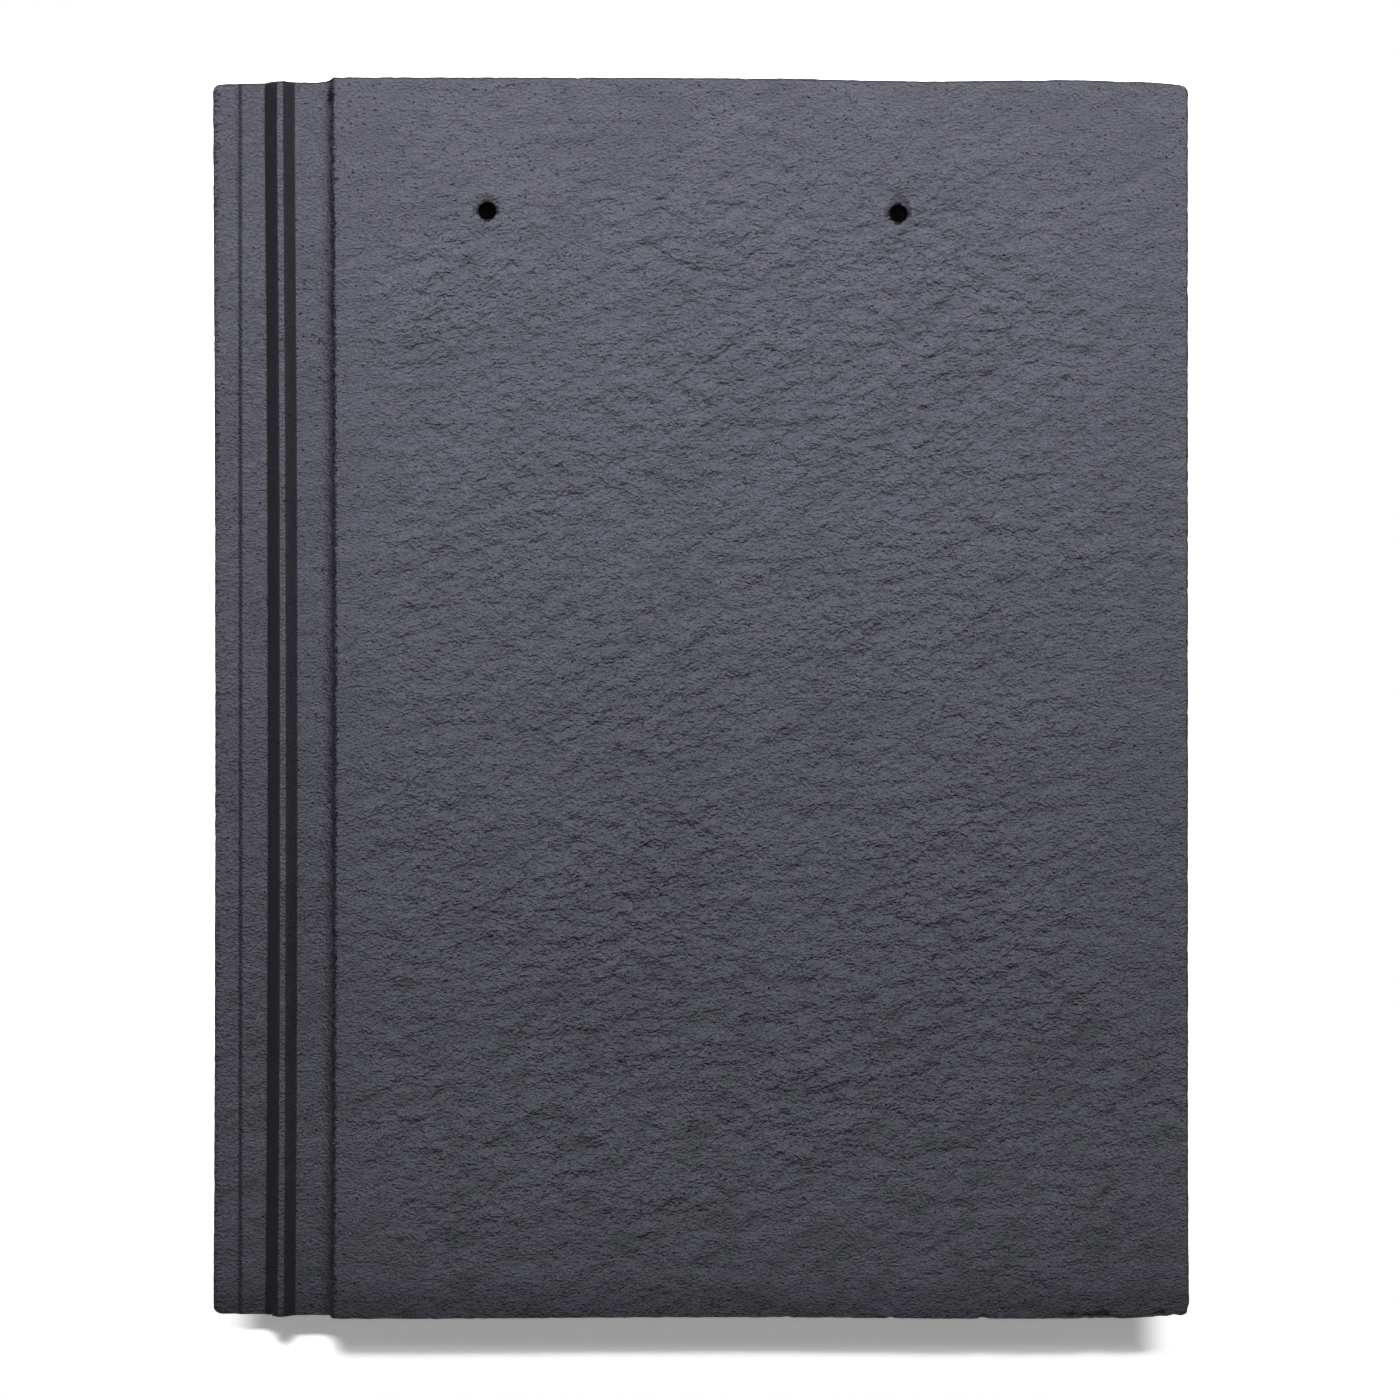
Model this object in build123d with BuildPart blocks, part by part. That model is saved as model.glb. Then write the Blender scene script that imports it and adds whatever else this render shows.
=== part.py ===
from build123d import *
import os
from math import radians, tan

# Flat interlocking concrete roof tile, cast in one piece
# X runs across the tile, Y from the tail to the head, Z up through the weather face
# The origin is in the middle of the tile, at the level of the nib tips

# Overall sizes in millimetres
tile_length = 418
tile_width = 330
plate_thickness = 14
nose_depth = 25.5
nib_drop = 10
corner_radius = 3
face_edge_radius = 0.8

# Overlap along the right edge, which lies over the next tile's channels
overlap_leg_thickness = 11
groove_roof_thickness = 5.2
groove_corner_radius = 1

# Play left between the overlap and the underlap of the next tile
joint_gap = 4
channel_clearance = 1
ridge_clearance = 1.1
flank_clearance = 1.6

# Underlap along the left edge, with widths in millimetres and drafts in degrees
lip_width = 7.9
lip_drop = 1.5
lip_bevel = 1.6
outer_channel_width = 8.4
ridge_crest_width = 2.3
ridge_outer_draft = 27.3
ridge_inner_draft = 30.8
inner_channel_width = 11.3
step_draft = 12.2
foot_draft = 45
ridge_crest_radius = 0.7
ridge_foot_radius = 2
channel_radius = 0.8
foot_radius = 2

# Nose bar at the tail, and the weather bars behind it
nose_width = 18
nose_edge_bevel = 2
weather_bar_width = 6
weather_bar_rise = 1
weather_bar_offset = 48
weather_bar_pitch = 27
weather_bar_count = 2
bar_draft = 20
bar_end_clearance = 2
bar_crest_radius = 1.5

# Stiffening ribs that run from the weather bars to the head
rib_width = 8
rib_head_gap = 6

# Nibs that hook over the batten, and the nail holes below them
fixing_axis = 163
hole_spacing = 138.6
hole_diameter = 6
hole_offset = 45
dimple_radius = 5
dimple_angle = 136
nib_width = 50
nib_root_depth = 16
nib_offset = 12
nib_seat_draft = 3
nib_back_draft = 12
nib_side_draft = 10
nib_tip_radius = 2


def run(rise, draft):
    """Return how far a drafted flank leans sideways over a given rise."""
    return rise * tan(radians(draft))


# Levels above the nib tips
bearing_z = nib_drop
face_z = bearing_z + nose_depth
plate_z = face_z - plate_thickness
leg_z = face_z - overlap_leg_thickness
groove_roof_z = face_z - groove_roof_thickness
ridge_crest_z = groove_roof_z - ridge_clearance
outer_channel_z = plate_z - channel_clearance
inner_channel_z = leg_z - channel_clearance
lip_z = outer_channel_z - lip_drop

# Places across the underlap, from the left edge to the foot of the weather face
left_x = -tile_width / 2
right_x = tile_width / 2
lip_x = left_x + lip_width
outer_channel_x = lip_x + lip_bevel
ridge_foot_x = outer_channel_x + outer_channel_width
ridge_crest_x = ridge_foot_x + run(ridge_crest_z - outer_channel_z, ridge_outer_draft)
ridge_back_x = ridge_crest_x + ridge_crest_width
inner_channel_x = ridge_back_x + run(ridge_crest_z - inner_channel_z, ridge_inner_draft)
step_foot_x = inner_channel_x + inner_channel_width
step_top_x = step_foot_x + run(face_z - inner_channel_z, step_draft)

# The lap is what the next tile covers, and the cover width is the rest
lap_width = step_top_x - joint_gap - left_x
cover_width = tile_width - lap_width
foot_x = left_x + lap_width
foot_top_x = foot_x + run(plate_z - bearing_z, foot_draft)

# Groove under the overlap, parallel to the ridge of a tile one cover width away
groove_left_x = cover_width + ridge_crest_x + run(ridge_clearance, ridge_outer_draft) - flank_clearance
groove_right_x = cover_width + ridge_back_x - run(ridge_clearance, ridge_inner_draft) + flank_clearance
groove_depth = groove_roof_z - bearing_z
groove_mid_x = (groove_left_x + groove_right_x) / 2

# Places along the tile
tail_y = -tile_length / 2
head_y = tile_length / 2
weather_bar_y = [tail_y + weather_bar_offset + i * weather_bar_pitch for i in range(weather_bar_count)]
rib_top_y = head_y - rib_head_gap
hole_y = head_y - hole_offset
nib_y = head_y - nib_offset - nib_root_depth / 2

# Places across the underside
bar_end_x = right_x - lap_width - bar_end_clearance
fixing_x = left_x + fixing_axis
hole_x = [fixing_x - hole_spacing / 2, fixing_x + hole_spacing / 2]
rib_root_width = rib_width + 2 * run(plate_z - bearing_z, bar_draft)
rib_x = [fixing_x, bar_end_x - rib_root_width / 2]


def crest_bar(x_from, x_to, y_from, y_to, crest_z):
    """Make a bar that widens from its crest up to the plate, with its crest edges rounded."""
    with BuildPart() as bar:
        with BuildSketch(Plane.XY.offset(crest_z)):
            with Locations(((x_from + x_to) / 2, (y_from + y_to) / 2)):
                Rectangle(x_to - x_from, y_to - y_from)
        extrude(amount=plate_z - crest_z, taper=-bar_draft)
        crest = bar.faces().sort_by(Axis.Z)[0]
        fillet(crest.edges(), radius=bar_crest_radius)
    return bar.part


# One nib, drafted on all four sides from its root under the plate to its tip
with BuildPart() as nib:
    with BuildSketch(Plane.YZ):
        with BuildLine():
            Polyline(
                (-nib_root_depth / 2, plate_z),
                (-nib_root_depth / 2 + run(plate_z, nib_seat_draft), 0),
                (nib_root_depth / 2 - run(plate_z, nib_back_draft), 0),
                (nib_root_depth / 2, plate_z),
                close=True,
            )
        make_face()
    extrude(amount=nib_width / 2, both=True)
    with BuildSketch(Plane.XZ):
        with BuildLine():
            Polyline(
                (-nib_width / 2, plate_z),
                (-nib_width / 2 + run(plate_z, nib_side_draft), 0),
                (nib_width / 2 - run(plate_z, nib_side_draft), 0),
                (nib_width / 2, plate_z),
                close=True,
            )
        make_face()
    extrude(amount=nib_root_depth, both=True, mode=Mode.INTERSECT)
    fillet(nib.faces().sort_by(Axis.Z)[0].edges(), radius=nib_tip_radius)

with BuildPart() as roof_tile:
    # Block under the weather face, with the foot of the underlap and the overlap's leg
    with BuildSketch(Plane.XZ):
        with BuildLine():
            FilletPolyline(
                (left_x, bearing_z),
                (foot_x, bearing_z),
                (foot_top_x, plate_z),
                (groove_mid_x, plate_z),
                (groove_mid_x, leg_z),
                (right_x, leg_z),
                (right_x, face_z),
                (left_x, face_z),
                radius=[foot_radius, foot_radius, foot_radius, 0, 0, groove_corner_radius, 0, 0],
                close=True,
            )
        make_face()
    extrude(amount=tile_length / 2, both=True)

    # Nose bar, weather bars and ribs, rooted in the foot of the underlap
    # The nose bar is drawn on past the tail edge, where the plan trims it
    bar_start_x = foot_x - foot_radius - run(plate_z - bearing_z, bar_draft) / 2
    crest_end_x = bar_end_x - run(plate_z - bearing_z, bar_draft)
    add(crest_bar(bar_start_x, crest_end_x, tail_y - nose_width, tail_y + nose_width, bearing_z))
    for bar_y in weather_bar_y:
        bar_back_y = bar_y + weather_bar_width / 2
        bar_crest_z = bearing_z + weather_bar_rise
        add(crest_bar(bar_start_x, crest_end_x, bar_back_y - weather_bar_width, bar_back_y, bar_crest_z))
    for x in rib_x:
        add(crest_bar(x - rib_width / 2, x + rib_width / 2, weather_bar_y[-1], rib_top_y, bearing_z))

    # Nibs, on the same centres as the nail holes
    with Locations(*[(x, nib_y) for x in hole_x]):
        add(nib.part)

    # Water channels, cut along the left edge on both sides of the ridge
    with BuildSketch(Plane.XZ):
        with BuildLine():
            FilletPolyline(
                (left_x, lip_z),
                (lip_x, lip_z),
                (outer_channel_x, outer_channel_z),
                (ridge_foot_x, outer_channel_z),
                (ridge_crest_x, ridge_crest_z),
                (ridge_back_x, ridge_crest_z),
                (inner_channel_x, inner_channel_z),
                (step_foot_x, inner_channel_z),
                (step_top_x, face_z),
                (left_x, face_z),
                radius=[
                    0,
                    channel_radius,
                    channel_radius,
                    ridge_foot_radius,
                    ridge_crest_radius,
                    ridge_crest_radius,
                    channel_radius,
                    channel_radius,
                    0,
                    0,
                ],
                close=True,
            )
        make_face()
    extrude(amount=tile_length / 2, both=True, mode=Mode.SUBTRACT)

    # Groove under the overlap, which takes the next tile's ridge
    with BuildSketch(Plane.XZ):
        with BuildLine():
            FilletPolyline(
                (groove_left_x - run(groove_depth, ridge_outer_draft), bearing_z),
                (groove_left_x, groove_roof_z),
                (groove_right_x, groove_roof_z),
                (groove_right_x + run(groove_depth, ridge_inner_draft), bearing_z),
                radius=[0, groove_corner_radius, groove_corner_radius, 0],
                close=True,
            )
        make_face()
    extrude(amount=tile_length / 2, both=True, mode=Mode.SUBTRACT)

    # Plan of the tile, with its small rounded corners
    with BuildSketch(Plane.XY):
        RectangleRounded(tile_width, tile_length, corner_radius)
    extrude(amount=face_z, mode=Mode.INTERSECT)

    # Bevel along the lower edge of the nose
    with BuildSketch(Plane.YZ):
        with BuildLine():
            Polyline(
                (tail_y, bearing_z),
                (tail_y + nose_edge_bevel, bearing_z),
                (tail_y, bearing_z + nose_edge_bevel),
                close=True,
            )
        make_face()
    extrude(amount=tile_width / 2, both=True, mode=Mode.SUBTRACT)

    # Rounded rim of the weather face
    weather_face = roof_tile.faces().sort_by(Axis.Z)[-1]
    fillet(weather_face.edges(), radius=face_edge_radius)

    # Nail holes through the plate, each in a shallow dimple
    with Locations(*[(x, hole_y, face_z) for x in hole_x]):
        CounterSinkHole(hole_diameter / 2, dimple_radius, counter_sink_angle=dimple_angle)

roof_tile.part.label = "roof_tile"

os.makedirs("parts", exist_ok=True)
export_step(roof_tile.part, "parts/roof_tile.step")
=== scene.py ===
import logging
import math
from dataclasses import dataclass
from enum import Enum
from typing import Any, Sequence

import bpy
import numpy as np
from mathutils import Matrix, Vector
from mathutils.bvhtree import BVHTree


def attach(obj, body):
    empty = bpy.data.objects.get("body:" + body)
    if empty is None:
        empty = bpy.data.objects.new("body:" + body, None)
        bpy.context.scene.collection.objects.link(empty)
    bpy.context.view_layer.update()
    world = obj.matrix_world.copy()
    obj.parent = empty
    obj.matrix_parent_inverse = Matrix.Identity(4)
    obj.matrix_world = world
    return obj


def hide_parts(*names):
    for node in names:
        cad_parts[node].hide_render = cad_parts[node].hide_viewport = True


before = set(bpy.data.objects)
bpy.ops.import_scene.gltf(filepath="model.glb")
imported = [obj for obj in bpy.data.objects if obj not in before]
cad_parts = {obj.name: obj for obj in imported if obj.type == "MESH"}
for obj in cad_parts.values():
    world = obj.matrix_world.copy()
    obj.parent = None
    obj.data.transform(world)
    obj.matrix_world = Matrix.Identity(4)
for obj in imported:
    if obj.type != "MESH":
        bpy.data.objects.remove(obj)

logger = logging.getLogger("concrete_roof_tile")

MM = 0.001
TILE_NODE = "roof_tile"
ROOT_BODY = "root"
SAME_LEVEL = 0.1 * MM
STEP_SLACK = 0.01

Socket = bpy.types.NodeSocket
Colour = tuple[float, float, float]


class Zone(Enum):
    """The finishes that the tile shows, in the order of its material slots."""

    WEATHER = 0
    CUT = 1
    MOULDED = 2


class Side(Enum):
    """The two sides from which the tile's height is read."""

    ABOVE = 1
    BELOW = -1


@dataclass(frozen=True)
class Grain:
    """A pattern of noise.

    Args:
        sizes: The size of its grains along X, Y and Z.
        turn: The angle of their long side from X, in degrees.
        shift: A shift in grain sizes, which picks another part of the pattern.
        detail: How many finer layers are added.
        rough: How strong those layers are.
        swirl: How far the pattern is pulled about.
    """

    sizes: tuple[float, float, float] = (1.0, 1.0, 1.0)
    turn: float = 0.0
    shift: float = 0.0
    detail: float = 2.0
    rough: float = 0.5
    swirl: float = 0.0


@dataclass(frozen=True)
class Ease:
    """A smooth change of a number between two values of a measure.

    Args:
        low: The measure at which the change starts.
        high: The measure at which it ends, which can be the lesser one.
        start: The number before the change.
        end: The number after it.
    """

    low: float
    high: float
    start: float = 0.0
    end: float = 1.0


class Bench:
    """Places and links the nodes of one geometry or shader tree."""

    COLUMNS = 12
    NODE_STEP = (180, -220)

    def __init__(self, tree: bpy.types.NodeTree) -> None:
        """Keep the tree that the nodes go into.

        Args:
            tree: The tree to build.
        """
        self.tree = tree

    def put(self, kind: str, inputs: dict[Any, Any] | None = None, **settings: Any) -> bpy.types.Node:
        """Add a node, set its options and fill its inputs.

        Args:
            kind: The node's type name.
            inputs: Socket name or number to a value or to another node's output.
            settings: The node's own options.

        Returns:
            The new node.
        """
        node = self.tree.nodes.new(kind)
        row, column = divmod(len(self.tree.nodes), self.COLUMNS)
        node.location = (self.NODE_STEP[0] * column, self.NODE_STEP[1] * row)
        for name, value in settings.items():
            setattr(node, name, value)
        for name, value in (inputs or {}).items():
            self.fill(node.inputs[name], value)
        return node

    def fill(self, socket: Socket, value: Any) -> None:
        """Link an output to a socket, or set the socket's own value.

        Args:
            socket: The input to fill.
            value: An output, or a plain value.
        """
        if isinstance(value, Socket):
            self.tree.links.new(value, socket)
        else:
            socket.default_value = value

    def math(self, operation: str, first: Any, second: Any = 0.0, third: Any = 0.0) -> Socket:
        """Add one math node.

        Args:
            operation: Its operation.
            first: Its first number.
            second: Its second number.
            third: Its third number.

        Returns:
            The node's output.
        """
        node = self.put("ShaderNodeMath", operation=operation)
        for socket, value in zip(node.inputs, (first, second, third)):
            self.fill(socket, value)
        return node.outputs[0]

    def product(self, first: Any, *others: Any) -> Socket:
        """Multiply two or more numbers.

        Args:
            first: The first number.
            others: The other numbers.

        Returns:
            Their product.
        """
        for other in others:
            first = self.math("MULTIPLY", first, other)
        return first

    def largest(self, first: Any, *others: Any) -> Socket:
        """Pick the largest of two or more numbers.

        Args:
            first: The first number.
            others: The other numbers.

        Returns:
            The largest number.
        """
        for other in others:
            first = self.math("MAXIMUM", first, other)
        return first

    def moved(self, base: Socket, amount: Any, reach: Any) -> Socket:
        """Return a base plus an amount times its reach."""
        return self.math("MULTIPLY_ADD", amount, reach, base)

    def away(self, value: Socket, middle: Any) -> Socket:
        """Return how far a value is from a middle, on either side."""
        return self.math("ABSOLUTE", self.math("SUBTRACT", value, middle))

    def vector(self, operation: str, first: Any, second: Any) -> Socket:
        """Return the vector output of one vector math node."""
        node = self.put("ShaderNodeVectorMath", {0: first, 1: second}, operation=operation)
        return node.outputs[0]

    def scaled(self, vector: Socket, scale: Any) -> Socket:
        """Return a vector times a number."""
        node = self.put("ShaderNodeVectorMath", {0: vector, "Scale": scale}, operation="SCALE")
        return node.outputs[0]

    def span(self, value: Socket, low: Any, high: Any, start: Any = 0.0, end: Any = 1.0) -> Socket:
        """Ease a number from start to end as a value goes from low to high.

        Args:
            value: The value.
            low: The value at which the change starts.
            high: The value at which it ends.
            start: The number before the change.
            end: The number after it.

        Returns:
            The eased number.
        """
        inputs = {"Value": value, "From Min": low, "From Max": high, "To Min": start, "To Max": end}
        node = self.put("ShaderNodeMapRange", inputs, interpolation_type="SMOOTHSTEP")
        return node.outputs[0]

    def eased(self, value: Socket, ease: Ease) -> Socket:
        """Return the number to which an ease takes a value."""
        return self.span(value, ease.low, ease.high, ease.start, ease.end)

    def noise(self, place: Socket, grain: Grain, seed: Any = None) -> Socket:
        """Return a noise value with a mean near 0.5.

        Args:
            place: The position in metres.
            grain: The pattern.
            seed: The number that picks the pattern, where there is one to pick.

        Returns:
            The noise, mostly from 0.2 to 0.8.
        """
        inputs = {"Vector": self.stretched(place, grain.sizes, grain.turn, grain.shift), "Scale": 1.0}
        inputs |= {"Detail": grain.detail, "Roughness": grain.rough, "Distortion": grain.swirl}
        if seed is None:
            return self.put("ShaderNodeTexNoise", inputs).outputs[0]
        return self.put("ShaderNodeTexNoise", inputs | {"W": seed}, noise_dimensions="4D").outputs[0]

    def ragged(self, place: Socket, grain: Grain) -> Socket:
        """Return a noise value with a mean near 0, to move a line in and out."""
        return self.math("SUBTRACT", self.noise(place, grain), 0.5)

    def cells(self, place: Socket) -> tuple[Socket, Socket]:
        """Return the distance to the nearest random point, and that cell's random colour."""
        node = self.put("ShaderNodeTexVoronoi", {"Vector": place, "Scale": 1.0})
        return node.outputs["Distance"], node.outputs["Color"]

    def stretched(
        self, place: Socket, sizes: Sequence[float], turn: float = 0.0, shift: float = 0.0
    ) -> Socket:
        """Return a place counted in grain sizes, turned about Z and shifted.

        Args:
            place: The position in metres.
            sizes: The grain's size along X, Y and Z in metres.
            turn: The angle of the grain's long side from X, in degrees.
            shift: A shift in grain sizes, which picks another part of the pattern.

        Returns:
            The position to give to a texture.
        """
        if turn:
            inputs = {"Vector": place, "Angle": math.radians(-turn)}
            place = self.put("ShaderNodeVectorRotate", inputs, rotation_type="Z_AXIS").outputs[0]
        place = self.vector("MULTIPLY", place, tuple(1.0 / size for size in sizes))
        return self.vector("ADD", place, (shift, shift, shift))

    def split(self, vector: Socket) -> tuple[Socket, Socket, Socket]:
        """Return the three parts of a vector."""
        node = self.put("ShaderNodeSeparateXYZ", {0: vector})
        return node.outputs[0], node.outputs[1], node.outputs[2]

    def colour(self, value: Colour) -> Socket:
        """Add one plain colour.

        Args:
            value: Its red, green and blue.

        Returns:
            The colour.
        """
        node = self.put("ShaderNodeRGB")
        node.outputs[0].default_value = (*value, 1.0)
        return node.outputs[0]

    def blend(self, amount: Any, first: Any, second: Any) -> Socket:
        """Mix two colours.

        Args:
            amount: The share of the second colour.
            first: The first colour.
            second: The second colour.

        Returns:
            The mixed colour.
        """
        node = self.put("ShaderNodeMix", data_type="RGBA")
        self.fill(node.inputs[0], amount)
        for socket, value in zip(node.inputs[6:8], (first, second)):
            self.fill(socket, (*value, 1.0) if isinstance(value, tuple) else value)
        return node.outputs[2]


def in_scene(name: str, data: Any) -> bpy.types.Object:
    """Make a new object and link it into the scene.

    Args:
        name: The object's name.
        data: Its mesh, light or camera.

    Returns:
        The new object.
    """
    thing = bpy.data.objects.new(name, data)
    bpy.context.scene.collection.objects.link(thing)
    return thing


@dataclass
class CastShape:
    """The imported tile's solid, whose height is read from above and from below.

    Args:
        corner_radius: The radius of its corners in plan.
        hole_radius: The radius of a nail hole.
        hole_places: The centres of the nail holes.
        step_foot: The place across the tile of the foot of the step up to the weather face.
        step_top: The place of that step's upper edge.
        step_draft: How far the step leans back, in degrees.
        step_radius: The radius of the hollow in which the worn channel runs into the step.
        channel_level: The height of that channel's floor.
        inset: How far inside the outline an edge point is read.
    """

    corner_radius: float = 3 * MM
    hole_radius: float = 3 * MM
    hole_places: tuple[tuple[float, float], ...] = ((-71.3 * MM, 164 * MM), (67.3 * MM, 164 * MM))
    step_foot: float = -125.6 * MM
    step_top: float = -123.0 * MM
    step_draft: float = 12.2
    step_radius: float = 5 * MM
    channel_level: float = 23.5 * MM
    inset: float = 0.04 * MM

    NUDGES = (0.0, 0.5, -0.5)

    def __post_init__(self) -> None:
        """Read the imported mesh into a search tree."""
        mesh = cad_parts[TILE_NODE].data
        flat = np.empty(len(mesh.vertices) * 3)
        mesh.vertices.foreach_get("co", flat)
        self.corners = flat.reshape(-1, 3)
        self.low, self.high = self.corners.min(0), self.corners.max(0)
        faces = [tuple(face.vertices) for face in mesh.polygons]
        self.tree = BVHTree.FromPolygons([Vector(corner) for corner in self.corners], faces)

    def inside(self, x: float, y: float) -> tuple[float, float]:
        """Draw a point inside the outline by the inset.

        Args:
            x: The place across the tile.
            y: The place along the tile.

        Returns:
            The nearest such point.
        """
        radius = self.corner_radius
        reach_x, reach_y = self.high[0] - radius, self.high[1] - radius
        dx, dy = abs(x) - reach_x, abs(y) - reach_y
        if dx > 0 and dy > 0:
            pull = min(1.0, (radius - self.inset) / max(math.hypot(dx, dy), 1e-9))
            dx, dy = dx * pull, dy * pull
        dx, dy = min(dx, radius - self.inset), min(dy, radius - self.inset)
        return math.copysign(reach_x + dx, x), math.copysign(reach_y + dy, y)

    def level(self, x: float, y: float, side: Side) -> float:
        """Return the solid's height at a point.

        Args:
            x: The place across the tile.
            y: The place along the tile.
            side: The side from which the height is read.

        Returns:
            The height in metres, or the weather face's own inside a nail hole.
        """
        x, y = self.inside(x, y)
        start = Vector((x, y, side.value))
        for nudge in self.NUDGES:
            shift = Vector((nudge * self.inset, nudge * self.inset, 0.0))
            hit = self.tree.ray_cast(start + shift, Vector((0.0, 0.0, -side.value)))[0]
            if hit is not None:
                return hit.z
        return self.high[2]

    def hollow_reach(self) -> tuple[float, float]:
        """Work out where the hollow at the foot of the step lies.

        Returns:
            The places across the tile where it starts and ends.
        """
        lean = math.radians(90 - self.step_draft)
        start = self.step_foot - self.step_radius * math.tan(lean / 2)
        return start, start + self.step_radius * math.sin(lean)

    def hollow_level(self, x: float) -> float:
        """Work out the height of the hollow at the foot of the step.

        Args:
            x: The place across the tile.

        Returns:
            The height in metres, or minus infinity away from the hollow.
        """
        start, end = self.hollow_reach()
        if not start < x < end:
            return -math.inf
        return self.channel_level + self.step_radius - math.sqrt(self.step_radius**2 - (x - start) ** 2)

    def marks(self, axis: int, side: Side) -> list[float]:
        """Return the places of the corners that are seen from one side, along X (0) or Y (1)."""
        seen = [c for c in self.corners if abs(self.level(c[0], c[1], side) - c[2]) < SAME_LEVEL]
        return sorted({round(float(corner[axis]), 5) for corner in seen})


def net_lines(marks: Sequence[float], pitch: float, steep: float, apart: float, depth: Any) -> np.ndarray:
    """Return the lines of a net, which pass through the marks.

    Args:
        marks: The places that need a line, in order.
        pitch: The greatest step between lines.
        steep: The same where the surface is steep, measured along the surface.
        apart: The least step between marks that both keep a line.
        depth: A function from a place to the surface's height there.

    Returns:
        The places of the lines, in order.
    """
    kept = [marks[0]]
    for mark in marks[1:-1]:
        if mark - kept[-1] >= apart and marks[-1] - mark >= apart:
            kept.append(mark)
    kept.append(marks[-1])
    lines = [kept[0]]
    for start, end in zip(kept, kept[1:]):
        rise = abs(depth(end) - depth(start))
        step_size = steep if rise > (end - start) / 2 else pitch
        steps = max(1, math.ceil(math.hypot(end - start, rise) / step_size - STEP_SLACK))
        lines.extend(start + (end - start) * step / steps for step in range(1, steps + 1))
    return np.array(lines)


def loop_round(faces: np.ndarray) -> list[int]:
    """Find the points round a patch of faces.

    Args:
        faces: The faces, one row of points each.

    Returns:
        The points of the rim, in the faces' own turning direction.
    """
    edges = {(int(a), int(b)) for face in faces for a, b in zip(face, np.roll(face, -1))}
    onward = {a: b for a, b in edges if (b, a) not in edges}
    start = point = min(onward)
    loop = []
    while not loop or point != start:
        loop.append(point)
        point = onward[point]
    return loop


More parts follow.
